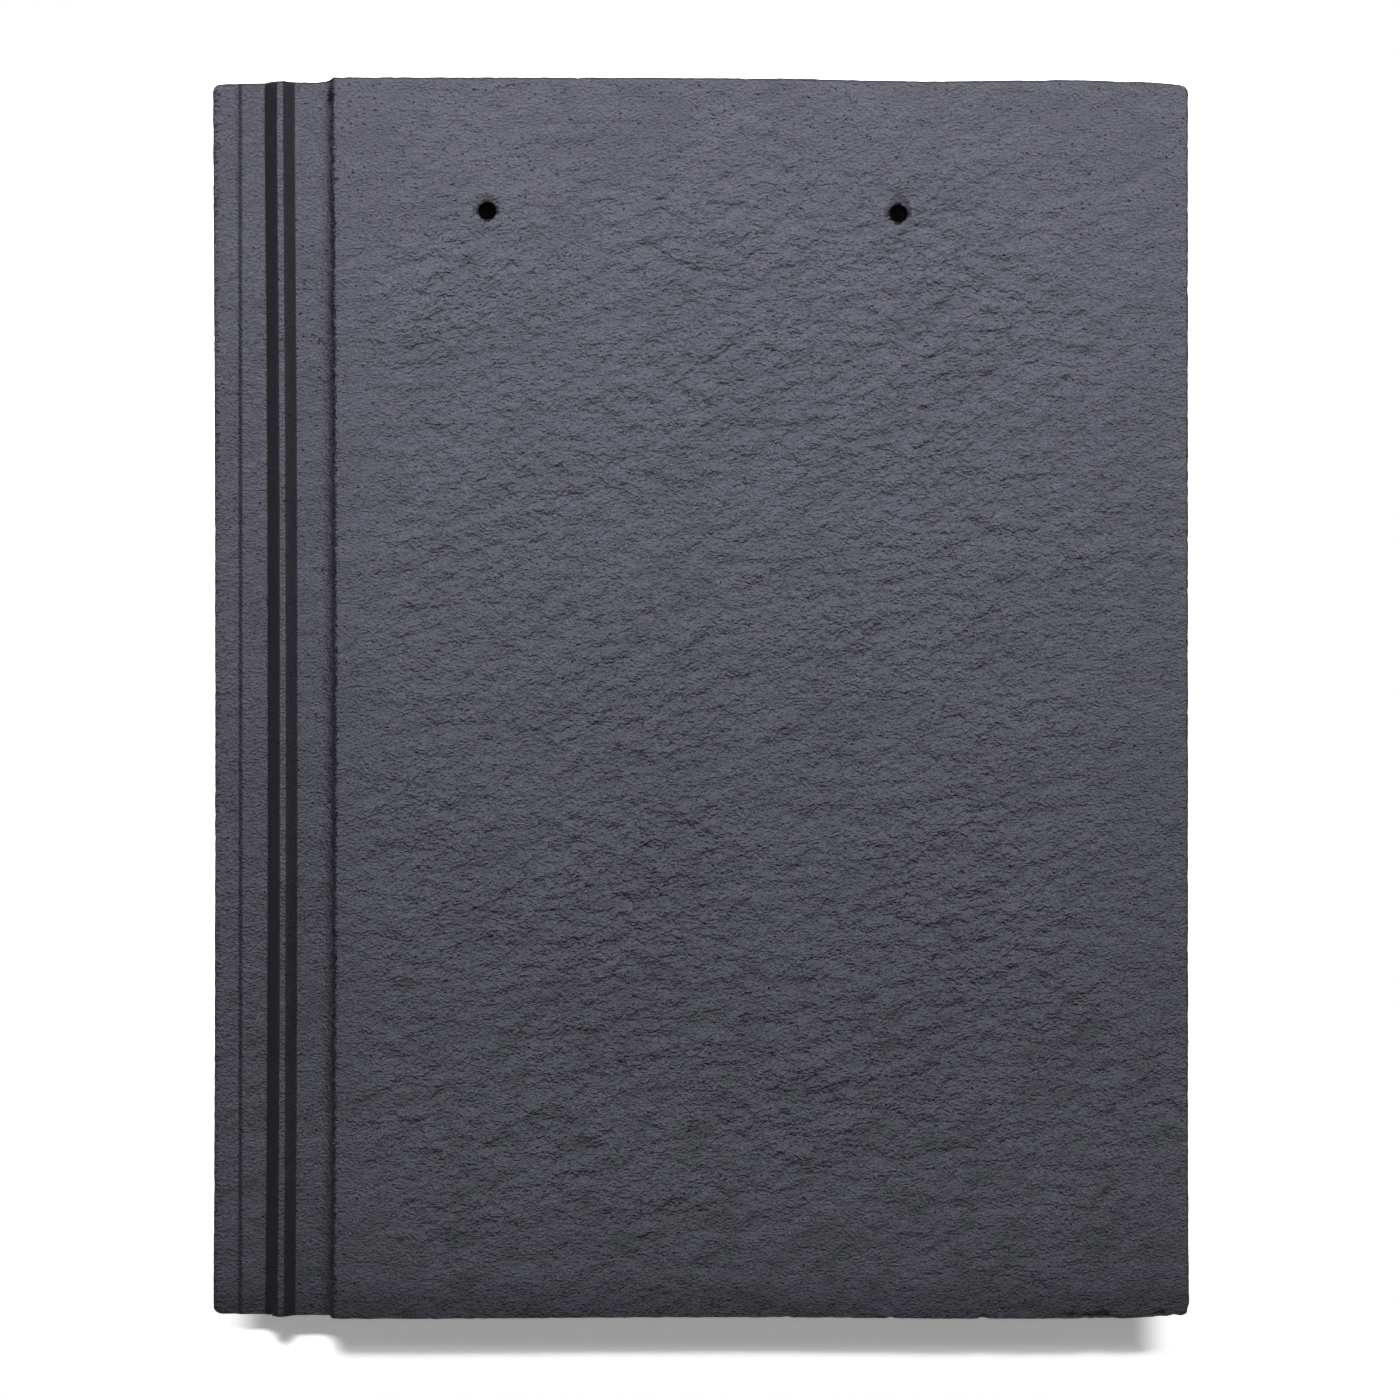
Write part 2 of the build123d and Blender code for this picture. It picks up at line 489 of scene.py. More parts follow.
@dataclass
class TileNet:
    """A closed net over the cast shape, fine on the weather face and coarse below.

    Args:
        shape: The cast shape that the net is read from.
        face_pitches: The steps of the net across and along the weather face.
        under_pitches: The same on the underside.
        apart: The least step between two lines that pass through corners.
        under_apart: The same on the underside.
        steep_share: The share of a step that is taken on the steep flanks.
        wall_rows: How many rows of faces the edges of the tile have.
        hollow_pitch: The step of the net across the hollow at the foot of the step.
        hole_reach: How far round a nail hole the net is finer.
        hole_pitch: The least step of the net there.
        hole_rows: How many rows of faces the wall of a nail hole has.
    """

    shape: CastShape
    face_pitches: tuple[float, float] = (2.3 * MM, 1.2 * MM)
    under_pitches: tuple[float, float] = (8.0 * MM, 8.0 * MM)
    apart: float = 0.36 * MM
    under_apart: float = 1.1 * MM
    steep_share: float = 0.6
    wall_rows: int = 5
    hollow_pitch: float = 0.6 * MM
    hole_reach: float = 6 * MM
    hole_pitch: float = 0.75 * MM
    hole_rows: int = 7

    def __post_init__(self) -> None:
        """Start with no points and no faces."""
        self.points: list[np.ndarray] = []
        self.faces: list[tuple[int, ...]] = []
        self.zones: list[int] = []

    def build(self) -> bpy.types.Mesh:
        """Build the closed mesh.

        Returns:
            The mesh, with the number of its zone on each face.
        """
        upper, upper_faces = self.sheet(Side.ABOVE, self.face_pitches)
        lower, lower_faces = self.sheet(Side.BELOW, self.under_pitches)
        upper_faces, upper_rims = self.pierce(upper_faces, Side.ABOVE)
        lower_faces, lower_rims = self.pierce(lower_faces, Side.BELOW)
        self.keep(upper_faces, Zone.WEATHER)
        self.keep(lower_faces, Zone.MOULDED)
        self.close_edges(upper, lower)
        for upper_rim, lower_rim, centre in zip(upper_rims, lower_rims, self.shape.hole_places):
            self.line_hole(upper_rim, lower_rim, centre)
        used = sorted({point for face in self.faces for point in face})
        number = {point: index for index, point in enumerate(used)}
        faces = [tuple(number[point] for point in face) for face in self.faces]
        mesh = bpy.data.meshes.new("roof_tile_net")
        mesh.from_pydata([self.points[point] for point in used], [], faces)
        mesh.attributes.new("zone", "INT", "FACE").data.foreach_set("value", self.zones)
        mesh.update()
        return mesh

    def keep(self, faces: Any, zone: Zone) -> None:
        """Add faces that share one finish."""
        self.faces.extend(tuple(int(point) for point in face) for face in faces)
        self.zones.extend([zone.value] * len(faces))

    def lines(self, axis: int, side: Side, pitch: float) -> np.ndarray:
        """Lay out the net's lines, finer round the nail holes.

        Args:
            axis: The way that they follow each other: across (0) or along (1) the tile.
            side: The side that the net covers.
            pitch: The greatest step between two lines.

        Returns:
            The places of the lines, in order.
        """
        low, high = self.shape.low[axis], self.shape.high[axis]
        fine = max(pitch / 2, self.hole_pitch)
        marks = {mark for mark in self.shape.marks(axis, side) if low < mark < high}
        for centre in self.shape.hole_places:
            nearby = np.arange(-self.hole_reach, self.hole_reach + fine / 2, fine) + centre[axis]
            marks = {mark for mark in marks if abs(mark - centre[axis]) > self.hole_reach + fine / 2}
            marks |= set(nearby.tolist())
        if axis == 0 and side is Side.ABOVE:
            start, _ = self.shape.hollow_reach()
            marks = {mark for mark in marks if not start - self.hollow_pitch < mark < self.shape.step_foot}
            marks |= set(np.arange(start, self.shape.step_foot, self.hollow_pitch).tolist())
        ordered = [low, *sorted(marks), high]
        steep = pitch * self.steep_share
        apart = self.apart if side is Side.ABOVE else self.under_apart
        if axis == 0:
            return net_lines(ordered, pitch, steep, apart, lambda x: self.shape.level(x, 0.0, side))
        return net_lines(ordered, pitch, steep, apart, lambda y: 0.0)

    def sheet(self, side: Side, pitches: tuple[float, float]) -> tuple[np.ndarray, np.ndarray]:
        """Lay one side of the net over the shape.

        Args:
            side: The side that the net covers.
            pitches: The steps of the net across and along the tile.

        Returns:
            The grid of point numbers, and the faces.
        """
        across, along = (self.lines(axis, side, pitch) for axis, pitch in enumerate(pitches))
        first = len(self.points)
        for x in across:
            for y in along:
                px, py = self.rounded(x, y)
                level = self.shape.level(px, py, side)
                if side is Side.ABOVE:
                    level = max(level, self.shape.hollow_level(px))
                self.points.append(np.array((px, py, level)))
        grid = first + np.arange(len(across) * len(along)).reshape(len(across), len(along))
        corners = (grid[:-1, :-1], grid[1:, :-1], grid[1:, 1:], grid[:-1, 1:])
        faces = np.stack(corners, -1).reshape(-1, 4)
        return grid, faces if side is Side.ABOVE else faces[:, ::-1]

    def rounded(self, x: float, y: float) -> tuple[float, float]:
        """Move a point of the square net into the rounded corners of the plan.

        Args:
            x: The place across the tile.
            y: The place along the tile.

        Returns:
            The point's new place across and along the tile.
        """
        radius = self.shape.corner_radius
        dx, dy = abs(x) - self.shape.high[0] + radius, abs(y) - self.shape.high[1] + radius
        if dx <= 0 or dy <= 0:
            return x, y
        pull = max(dx, dy) / math.hypot(dx, dy)
        reach_x, reach_y = self.shape.high[0] - radius, self.shape.high[1] - radius
        return math.copysign(reach_x + dx * pull, x), math.copysign(reach_y + dy * pull, y)

    def pierce(self, faces: np.ndarray, side: Side) -> tuple[np.ndarray, list[list[int]]]:
        """Open the nail holes in one side of the net.

        Args:
            faces: The faces of that side.
            side: The side that they cover.

        Returns:
            The faces that stay, and the rim of each hole.
        """
        places = np.array(self.points)[:, :2]
        rims = []
        for centre in self.shape.hole_places:
            away = np.hypot(*(places - centre).T)
            within = (away[faces] < self.shape.hole_radius).any(1)
            rim = loop_round(faces[within])
            for point in rim:
                x, y = centre + (places[point] - centre) * self.shape.hole_radius / away[point]
                outward = 1 + 2 * self.shape.inset / self.shape.hole_radius
                level = self.shape.level(*(centre + (np.array((x, y)) - centre) * outward), side)
                self.points[point] = np.array((x, y, level))
            rims.append(rim)
            faces = faces[~within]
        return faces, rims

    def close_edges(self, upper: np.ndarray, lower: np.ndarray) -> None:
        """Close the net round the outline, in rows that end on the coarse underside.

        Args:
            upper: The grid of points of the weather face.
            lower: The grid of points of the underside.
        """
        loops = []
        for grid in (upper, lower):
            ring = [*grid[:-1, 0], *grid[-1, :-1], *grid[:0:-1, -1], *grid[0, :0:-1]]
            loops.append([int(point) for point in ring])
        feet = [self.shape.level(*self.points[point][:2], Side.BELOW) for point in loops[0]]
        for face in self.wall(loops[0], feet, self.wall_rows, loops[1]):
            self.keep([face], self.edge_zone(face))

    def wall(
        self, top: list[int], feet: Sequence[float], count: int, foot: list[int]
    ) -> list[tuple[int, ...]]:
        """Return the faces of a wall that hangs from one loop down to another.

        Args:
            top: The upper loop.
            feet: The height to which the column below each of its points runs.
            count: The number of rows of faces.
            foot: The lower loop, which may have another number of points.

        Returns:
            The faces, seen from outside the upper loop.
        """
        faces: list[tuple[int, ...]] = []
        high = top
        for row in range(1, count):
            low = list(range(len(self.points), len(self.points) + len(top)))
            for point, end in zip(top, feet):
                x, y, start = self.points[point]
                self.points.append(np.array((x, y, start + (end - start) * row / count)))
            faces.extend(zip(low, low[1:] + low[:1], high[1:] + high[:1], high))
            high = low
        return faces + self.zipped(high, foot)

    def edge_zone(self, face: Sequence[int]) -> Zone:
        """Choose the finish of a face on the outline.

        Args:
            face: The face's points.

        Returns:
            Cut at the head and tail, and moulded at the sides.
        """
        middle = sum(self.points[point] for point in face) / len(face)
        at_side = self.shape.high[0] - abs(middle[0]) < self.shape.high[1] - abs(middle[1])
        return Zone.MOULDED if at_side else Zone.CUT

    def zipped(self, high: list[int], low: list[int]) -> list[tuple[int, int, int]]:
        """Join two loops that run the same way round the same outline.

        Args:
            high: The upper loop.
            low: The lower loop.

        Returns:
            The triangles between them.
        """
        ways = []
        for loop in (high, low):
            places = np.array([self.points[point][:2] for point in loop])
            steps = np.hypot(*(np.roll(places, -1, 0) - places).T)
            ways.append([0.0, *(np.cumsum(steps) / steps.sum())])
        faces = []
        i = j = 0
        while i < len(high) or j < len(low):
            if j >= len(low) or (i < len(high) and ways[0][i + 1] <= ways[1][j + 1]):
                faces.append((low[j % len(low)], high[(i + 1) % len(high)], high[i]))
                i += 1
            else:
                faces.append((low[j], low[(j + 1) % len(low)], high[i % len(high)]))
                j += 1
        return faces

    def line_hole(
        self, upper_rim: list[int], lower_rim: list[int], centre: tuple[float, float]
    ) -> None:
        """Line a nail hole with rows of faces, from its upper rim down to its lower rim.

        Args:
            upper_rim: The points of the upper rim.
            lower_rim: The points of the lower rim.
            centre: The hole's centre in plan.
        """

        def bearing(point: int) -> float:
            """Return the direction of a point from the hole's centre."""
            return math.atan2(*(self.points[point][:2] - centre)[::-1])

        upper = sorted(upper_rim, key=bearing)
        lower = sorted(lower_rim, key=bearing)
        foot = float(np.mean([self.points[point][2] for point in lower]))
        faces = self.wall(upper, [foot] * len(upper), self.hole_rows, lower)
        self.keep([face[::-1] for face in faces], Zone.CUT)


@dataclass(frozen=True)
class CastSkin:
    """The relief of the cast concrete, worked into the net by one Geometry Nodes tree.

    Args:
        swell: The depth of the broad hollows of the weather face.
        ripple: The depth of the short ripples between them.
        crease: The depth of the long fine creases.
        pit: The depth of the larger air pits.
        crumble: The depth of the ragged foot and edge of the step.
        rim_wear: The depth of the wear along the outline.
        chip: The depth of the chips along the tail edge.
        halo_shift: How far towards the head the shade round a nail hole is drawn.
        crumb_size: The size of a loose crumb at the foot of the step.
        crumb_spacing: The least distance between two crumbs.
        seed: The seed of all the patterns.
    """

    swell: float = 0.55 * MM
    ripple: float = 0.55 * MM
    crease: float = 0.25 * MM
    pit: float = 0.5 * MM
    crumble: float = 0.55 * MM
    rim_wear: float = 0.3 * MM
    chip: float = 1.5 * MM
    halo_shift: float = 1.6 * MM
    crumb_size: float = 0.42 * MM
    crumb_spacing: float = 1.6 * MM
    seed: float = 3.0

    # The patterns, by what they shape.
    ripples: Grain = Grain((6.5 * MM, 2.7 * MM, 4 * MM), turn=9, rough=0.6, swirl=0.7)
    wear: Grain = Grain((3.2 * MM,) * 3, detail=3.0, rough=0.6)
    clouds: Grain = Grain((15 * MM, 7 * MM, 12 * MM), turn=20, shift=6.0, detail=3.0, rough=0.6)
    calm_patches: Grain = Grain((60 * MM, 45 * MM, 60 * MM), detail=1.0)
    broad_hollows: Grain = Grain((30 * MM, 13 * MM, 30 * MM), turn=16, swirl=0.4)
    narrow_hollows: Grain = Grain((13 * MM, 5.5 * MM, 13 * MM), turn=22, shift=4.0, swirl=0.9)
    crease_lines: Grain = Grain((42 * MM, 15 * MM, 42 * MM), turn=10, shift=9.0, swirl=0.5)
    crease_gaps: Grain = Grain((22 * MM,) * 3, shift=5.0, detail=1.0)
    step_crumble: Grain = Grain((3 * MM, 3.4 * MM, 5 * MM), shift=2.0, rough=0.6)
    chip_lumps: Grain = Grain((7 * MM, 12 * MM, 5 * MM), shift=7.0, rough=0.6)

    # By the upward part of the normal.
    top_faces: Ease = Ease(0.55, 0.95)
    under_faces: Ease = Ease(-0.5, -0.95)
    level_faces: Ease = Ease(0.74, 0.95)
    worn_faces: Ease = Ease(-0.9, -0.4)
    crumb_faces: float = 0.1

    # By the value of a pattern.
    ripple_form: Ease = Ease(0.2, 0.8)
    wear_form: Ease = Ease(0.3, 0.8)
    hollow_form: Ease = Ease(0.35, 0.85)
    hollow_mix: float = 0.6
    crease_width: Ease = Ease(0.035, 0.0)
    creases_kept: Ease = Ease(0.52, 0.62)
    crumble_form: Ease = Ease(0.38, 0.72)
    head_chips: Ease = Ease(0.55, 0.7)
    tail_chip_edge: float = 0.12

    # By the place on the tile.
    calm_patch: Ease = Ease(0.3, 0.7, 0.8, 1.15)
    calm_head: Ease = Ease(205 * MM, 135 * MM, 0.45)
    calm_tail: Ease = Ease(-207 * MM, -140 * MM, 0.6)
    calm_step: Ease = Ease(-126 * MM, -90 * MM, 0.5)
    calm_right: Ease = Ease(165 * MM, 125 * MM, 0.7)
    worn_rim: Ease = Ease(2.5 * MM, 0.0)
    by_step: Ease = Ease(1.6 * MM, 0.0)
    by_tail: Ease = Ease(-204.5 * MM, -208.5 * MM)
    by_head: Ease = Ease(206.5 * MM, 208.7 * MM)
    tail_chips: Ease = Ease(10 * MM, 70 * MM, 0.62, 0.55)
    head_chip_depth: float = 0.25
    crumb_reach: Ease = Ease(2.6 * MM, 0.4 * MM)

    # The pits, whose radii are shares of their spacing, and the crumbs.
    pit_spacing: float = 9 * MM
    pit_radius: float = 0.07
    pit_radius_spread: float = 0.09
    pits_left_out: float = 0.62
    crumbs_per_area: float = 180000.0
    least_crumb: float = 0.35
    turn_seed: int = 8

    def settings(self, shape: CastShape) -> dict[str, Any]:
        """List the tree's named inputs.

        Args:
            shape: The cast shape.

        Returns:
            Their values, by name.
        """
        left_hole, right_hole = ((x, y, 0.0) for x, y in shape.hole_places)
        return {
            "Left hole": left_hole,
            "Right hole": right_hole,
            "Halo shift": self.halo_shift,
            "Half width": float(shape.high[0]),
            "Half length": float(shape.high[1]),
            "Swell depth": self.swell,
            "Ripple depth": self.ripple,
            "Crease depth": self.crease,
            "Pit depth": self.pit,
            "Crumble depth": self.crumble,
            "Rim wear": self.rim_wear,
            "Chip depth": self.chip,
            "Step foot": shape.step_foot,
            "Step top": shape.step_top,
            "Crumb size": self.crumb_size,
            "Crumb spacing": self.crumb_spacing,
            "Seed": self.seed,
        }

    def apply(self, tile: bpy.types.Object, shape: CastShape, finishes: dict[Zone, Any]) -> bpy.types.Mesh:
        """Run the tree on the net and return the plain mesh that it gives.

        Args:
            tile: The object that holds the net.
            shape: The cast shape, whose size the tree needs.
            finishes: The material of each zone.

        Returns:
            The finished mesh.
        """
        tree = bpy.data.node_groups.new("cast_skin", "GeometryNodeTree")
        tree.is_modifier = True
        tree.interface.new_socket("Geometry", in_out="INPUT", socket_type="NodeSocketGeometry")
        tree.interface.new_socket("Geometry", in_out="OUTPUT", socket_type="NodeSocketGeometry")
        values = {}
        for name, value in self.settings(shape).items():
            kind = "NodeSocketVector" if isinstance(value, tuple) else "NodeSocketFloat"
            socket = tree.interface.new_socket(name, in_out="INPUT", socket_type=kind)
            values[socket.identifier] = value
        self.lay_out(tree, finishes)
        modifier = tile.modifiers.new("cast_skin", "NODES")
        modifier.node_group = tree
        for identifier, value in values.items():
            modifier[identifier] = value
        graph = bpy.context.evaluated_depsgraph_get()
        mesh = bpy.data.meshes.new_from_object(tile.evaluated_get(graph), depsgraph=graph)
        tile.modifiers.remove(modifier)
        return mesh

    def lay_out(self, tree: bpy.types.NodeTree, finishes: dict[Zone, Any]) -> None:
        """Place and link the tree's nodes.

        Args:
            tree: The empty tree.
            finishes: The material of each zone.
        """
        bench = Bench(tree)
        given = bench.put("NodeGroupInput").outputs
        place = bench.put("GeometryNodeInputPosition").outputs[0]
        normal = bench.put("GeometryNodeInputNormal").outputs[0]
        up = bench.split(normal)[2]
        depth, zones = self.relief(bench, given, place, up)
        mesh = given["Geometry"]
        for name, value in zones.items():
            inputs = {"Geometry": mesh, "Name": name, "Value": value}
            mesh = bench.put("GeometryNodeStoreNamedAttribute", inputs, data_type="FLOAT").outputs[0]
        inputs = {"Geometry": mesh, "Name": "flat", "Value": bench.eased(up, self.level_faces)}
        flat = bench.put("GeometryNodeStoreNamedAttribute", inputs, data_type="FLOAT", domain="FACE")
        inward = bench.scaled(normal, bench.product(depth, -1.0))
        inputs = {"Geometry": flat.outputs[0], "Offset": inward}
        mesh = bench.put("GeometryNodeSetPosition", inputs).outputs[0]
        joined = bench.put("GeometryNodeJoinGeometry")
        for part in (self.crumbs(bench, given, mesh), mesh):
            tree.links.new(part, joined.inputs[0])
        whole = bench.put("GeometryNodeRealizeInstances", {0: joined.outputs[0]}).outputs[0]
        zone = bench.put("GeometryNodeInputNamedAttribute", {"Name": "zone"}, data_type="INT").outputs[0]
        for key, material in finishes.items():
            chosen = bench.put("FunctionNodeCompare", {"A": zone, "B": float(key.value)}, operation="EQUAL")
            inputs = {"Geometry": whole, "Selection": chosen.outputs[0], "Material": material}
            whole = bench.put("GeometryNodeSetMaterial", inputs).outputs[0]
        bench.put("NodeGroupOutput", {0: whole})

    def relief(
        self, bench: Bench, given: Any, place: Socket, up: Socket
    ) -> tuple[Socket, dict[str, Socket]]:
        """Work out the relief of the skin.

        Args:
            bench: The tree's bench.
            given: The tree's named inputs.
            place: The position on the tile.
            up: The upward part of the normal there.

        Returns:
            The depth in metres, and the numbers that the finishes read, by name.
        """
        seed = given["Seed"]
        x, y, _ = bench.split(place)
        top = bench.eased(up, self.top_faces)
        rim_x = bench.math("SUBTRACT", given["Half width"], bench.math("ABSOLUTE", x))
        rim_y = bench.math("SUBTRACT", given["Half length"], bench.math("ABSOLUTE", y))
        rim = bench.math("MINIMUM", rim_x, rim_y)
        lively = self.lively(bench, x, y, place, seed)
        hollow = self.hollows(bench, place, seed)
        broken = self.breaks(bench, given, x, y, place, seed)
        ripples = bench.eased(bench.noise(place, self.ripples, seed), self.ripple_form)
        creases = bench.product(self.creases(bench, place, seed), top)
        flat_parts = bench.largest(top, bench.eased(up, self.under_faces))
        pits = bench.product(self.pits(bench, place, seed), flat_parts)
        worn = bench.product(bench.eased(rim, self.worn_rim), bench.eased(up, self.worn_faces))
        worn = bench.product(worn, bench.eased(bench.noise(place, self.wear, seed), self.wear_form))
        depth = bench.moved(bench.product(hollow, given["Swell depth"]), ripples, given["Ripple depth"])
        depth = bench.product(depth, lively, top)
        for amount, name in ((creases, "Crease depth"), (pits, "Pit depth"), (worn, "Rim wear")):
            depth = bench.moved(depth, amount, given[name])
        raised = bench.put("ShaderNodeCombineXYZ", {"Y": given["Halo shift"]}).outputs[0]
        zones = {
            "rim": rim,
            "lively": lively,
            "hollow": hollow,
            "cloud": bench.noise(place, self.clouds, seed),
            "broken": bench.math("DIVIDE", broken, given["Chip depth"]),
            "step": bench.math("SUBTRACT", x, given["Step top"]),
            "hole": self.from_holes(bench, given, place),
            "halo": self.from_holes(bench, given, bench.vector("SUBTRACT", place, raised)),
        }
        return bench.math("ADD", depth, broken), zones

    def from_holes(self, bench: Bench, given: Any, place: Socket) -> Socket:
        """Measure the distance in plan to the nearest nail hole.

        Args:
            bench: The tree's bench.
            given: The tree's named inputs.
            place: The position on the tile.

        Returns:
            The distance to the hole's middle.
        """
        in_plan = bench.vector("MULTIPLY", place, (1.0, 1.0, 0.0))
        ways = []
        for name in ("Left hole", "Right hole"):
            way = bench.put("ShaderNodeVectorMath", {0: in_plan, 1: given[name]}, operation="DISTANCE")
            ways.append(way.outputs["Value"])
        return bench.math("MINIMUM", *ways)

    def lively(self, bench: Bench, x: Socket, y: Socket, place: Socket, seed: Socket) -> Socket:
        """Work out how lively the relief is.

        Args:
            bench: The tree's bench.
            x: The place across the tile.
            y: The place along the tile.
            place: The position on the tile.
            seed: The seed of the patterns.

        Returns:
            The liveliness, low by the edges, in the channels and in large patches.
        """
        amount = bench.eased(bench.noise(place, self.calm_patches, seed), self.calm_patch)
        edges = ((y, self.calm_head), (y, self.calm_tail), (x, self.calm_step), (x, self.calm_right))
        for along, ease in edges:
            amount = bench.product(amount, bench.eased(along, ease))
        return amount

    def hollows(self, bench: Bench, place: Socket, seed: Socket) -> Socket:
        """Lay out the broad hollows, which lean up to the right.

        Args:
            bench: The tree's bench.
            place: The position on the tile.
            seed: The seed of the patterns.

        Returns:
            A number that is 1 where they are deepest.
        """
        broad = bench.product(bench.noise(place, self.broad_hollows, seed), self.hollow_mix)
        mixed = bench.moved(broad, bench.noise(place, self.narrow_hollows, seed), self.hollow_mix)
        return bench.eased(mixed, self.hollow_form)

    def creases(self, bench: Bench, place: Socket, seed: Socket) -> Socket:
        """Lay out a few long fine creases.

        Args:
            bench: The tree's bench.
            place: The position on the tile.
            seed: The seed of the patterns.

        Returns:
            A number that is 1 along their middles.
        """
        lines = bench.away(bench.noise(place, self.crease_lines, seed), 0.5)
        kept = bench.eased(bench.noise(place, self.crease_gaps, seed), self.creases_kept)
        return bench.product(bench.eased(lines, self.crease_width), kept)

    def pits(self, bench: Bench, place: Socket, seed: Socket) -> Socket:
        """Scatter the larger air pits.

        Args:
            bench: The tree's bench.
            place: The position on the tile.
            seed: The seed of the patterns.

        Returns:
            A number that is 1 at their middles.
        """
        counted = bench.stretched(place, (self.pit_spacing,) * 3)
        away, random = bench.cells(bench.vector("ADD", counted, seed))
        share = bench.split(random)
        radius = bench.math("MULTIPLY_ADD", share[1], self.pit_radius_spread, self.pit_radius)
        kept = bench.math("GREATER_THAN", share[0], self.pits_left_out)
        return bench.product(bench.span(away, radius, 0.0), kept)

    def breaks(
        self, bench: Bench, given: Any, x: Socket, y: Socket, place: Socket, seed: Socket
    ) -> Socket:
        """Break the step, and chip the head and tail edges.

        Args:
            bench: The tree's bench.
            given: The tree's named inputs.
            x: The place across the tile.
            y: The place along the tile.
            place: The position on the tile.
            seed: The seed of the patterns.

        Returns:
            The depth of the ragged step and of the chips.
        """
        before = bench.math("SUBTRACT", given["Step foot"], x)
        beyond = bench.math("SUBTRACT", x, given["Step top"])
        near = bench.eased(bench.largest(before, beyond), self.by_step)
        crumble = bench.eased(bench.noise(place, self.step_crumble, seed), self.crumble_form)
        lumps = bench.noise(place, self.chip_lumps, seed)
        least = bench.eased(x, self.tail_chips)
        chipped = bench.span(lumps, least, bench.math("ADD", least, self.tail_chip_edge))
        tail = bench.product(bench.eased(y, self.by_tail), chipped)
        head = bench.product(bench.eased(y, self.by_head), self.head_chip_depth)
        head = bench.product(head, bench.eased(lumps, self.head_chips))
        chips = bench.product(bench.largest(tail, head), given["Chip depth"])
        return bench.math("ADD", bench.product(near, crumble, given["Crumble depth"]), chips)

    def crumbs(self, bench: Bench, given: Any, mesh: Socket) -> Socket:
        """Scatter loose crumbs along the foot of the step.

        Args:
            bench: The tree's bench.
            given: The tree's named inputs.
            mesh: The mesh that they lie on.

        Returns:
            The crumbs, as instances of one small lump.
        """
        x = bench.split(bench.put("GeometryNodeInputPosition").outputs[0])[0]
        up = bench.split(bench.put("GeometryNodeInputNormal").outputs[0])[2]
        near = bench.eased(bench.away(x, given["Step top"]), self.crumb_reach)
        inputs = {
            "Mesh": mesh,
            "Distance Min": given["Crumb spacing"],
            "Density Max": self.crumbs_per_area,
            "Density Factor": bench.product(near, bench.math("GREATER_THAN", up, self.crumb_faces)),
            "Seed": int(self.seed),
        }
        scattered = bench.put("GeometryNodeDistributePointsOnFaces", inputs, distribute_method="POISSON")
        lump = bench.put("GeometryNodeMeshIcoSphere", {"Radius": 1.0, "Subdivisions": 1}).outputs[0]
        least = bench.product(given["Crumb size"], self.least_crumb)
        inputs = {2: least, 3: given["Crumb size"], "Seed": int(self.seed)}
        size = bench.put("FunctionNodeRandomValue", inputs, data_type="FLOAT")
        inputs = {1: (math.tau,) * 3, "Seed": self.turn_seed}
        turn = bench.put("FunctionNodeRandomValue", inputs, data_type="FLOAT_VECTOR")
        inputs = {
            "Points": scattered.outputs["Points"],
            "Instance": lump,
            "Rotation": turn.outputs[0],
            "Scale": size.outputs[1],
        }
        lumps = bench.put("GeometryNodeInstanceOnPoints", inputs).outputs[0]
        return bench.put("GeometryNodeRemoveAttribute", {"Geometry": lumps, "Name": "flat"}).outputs[0]


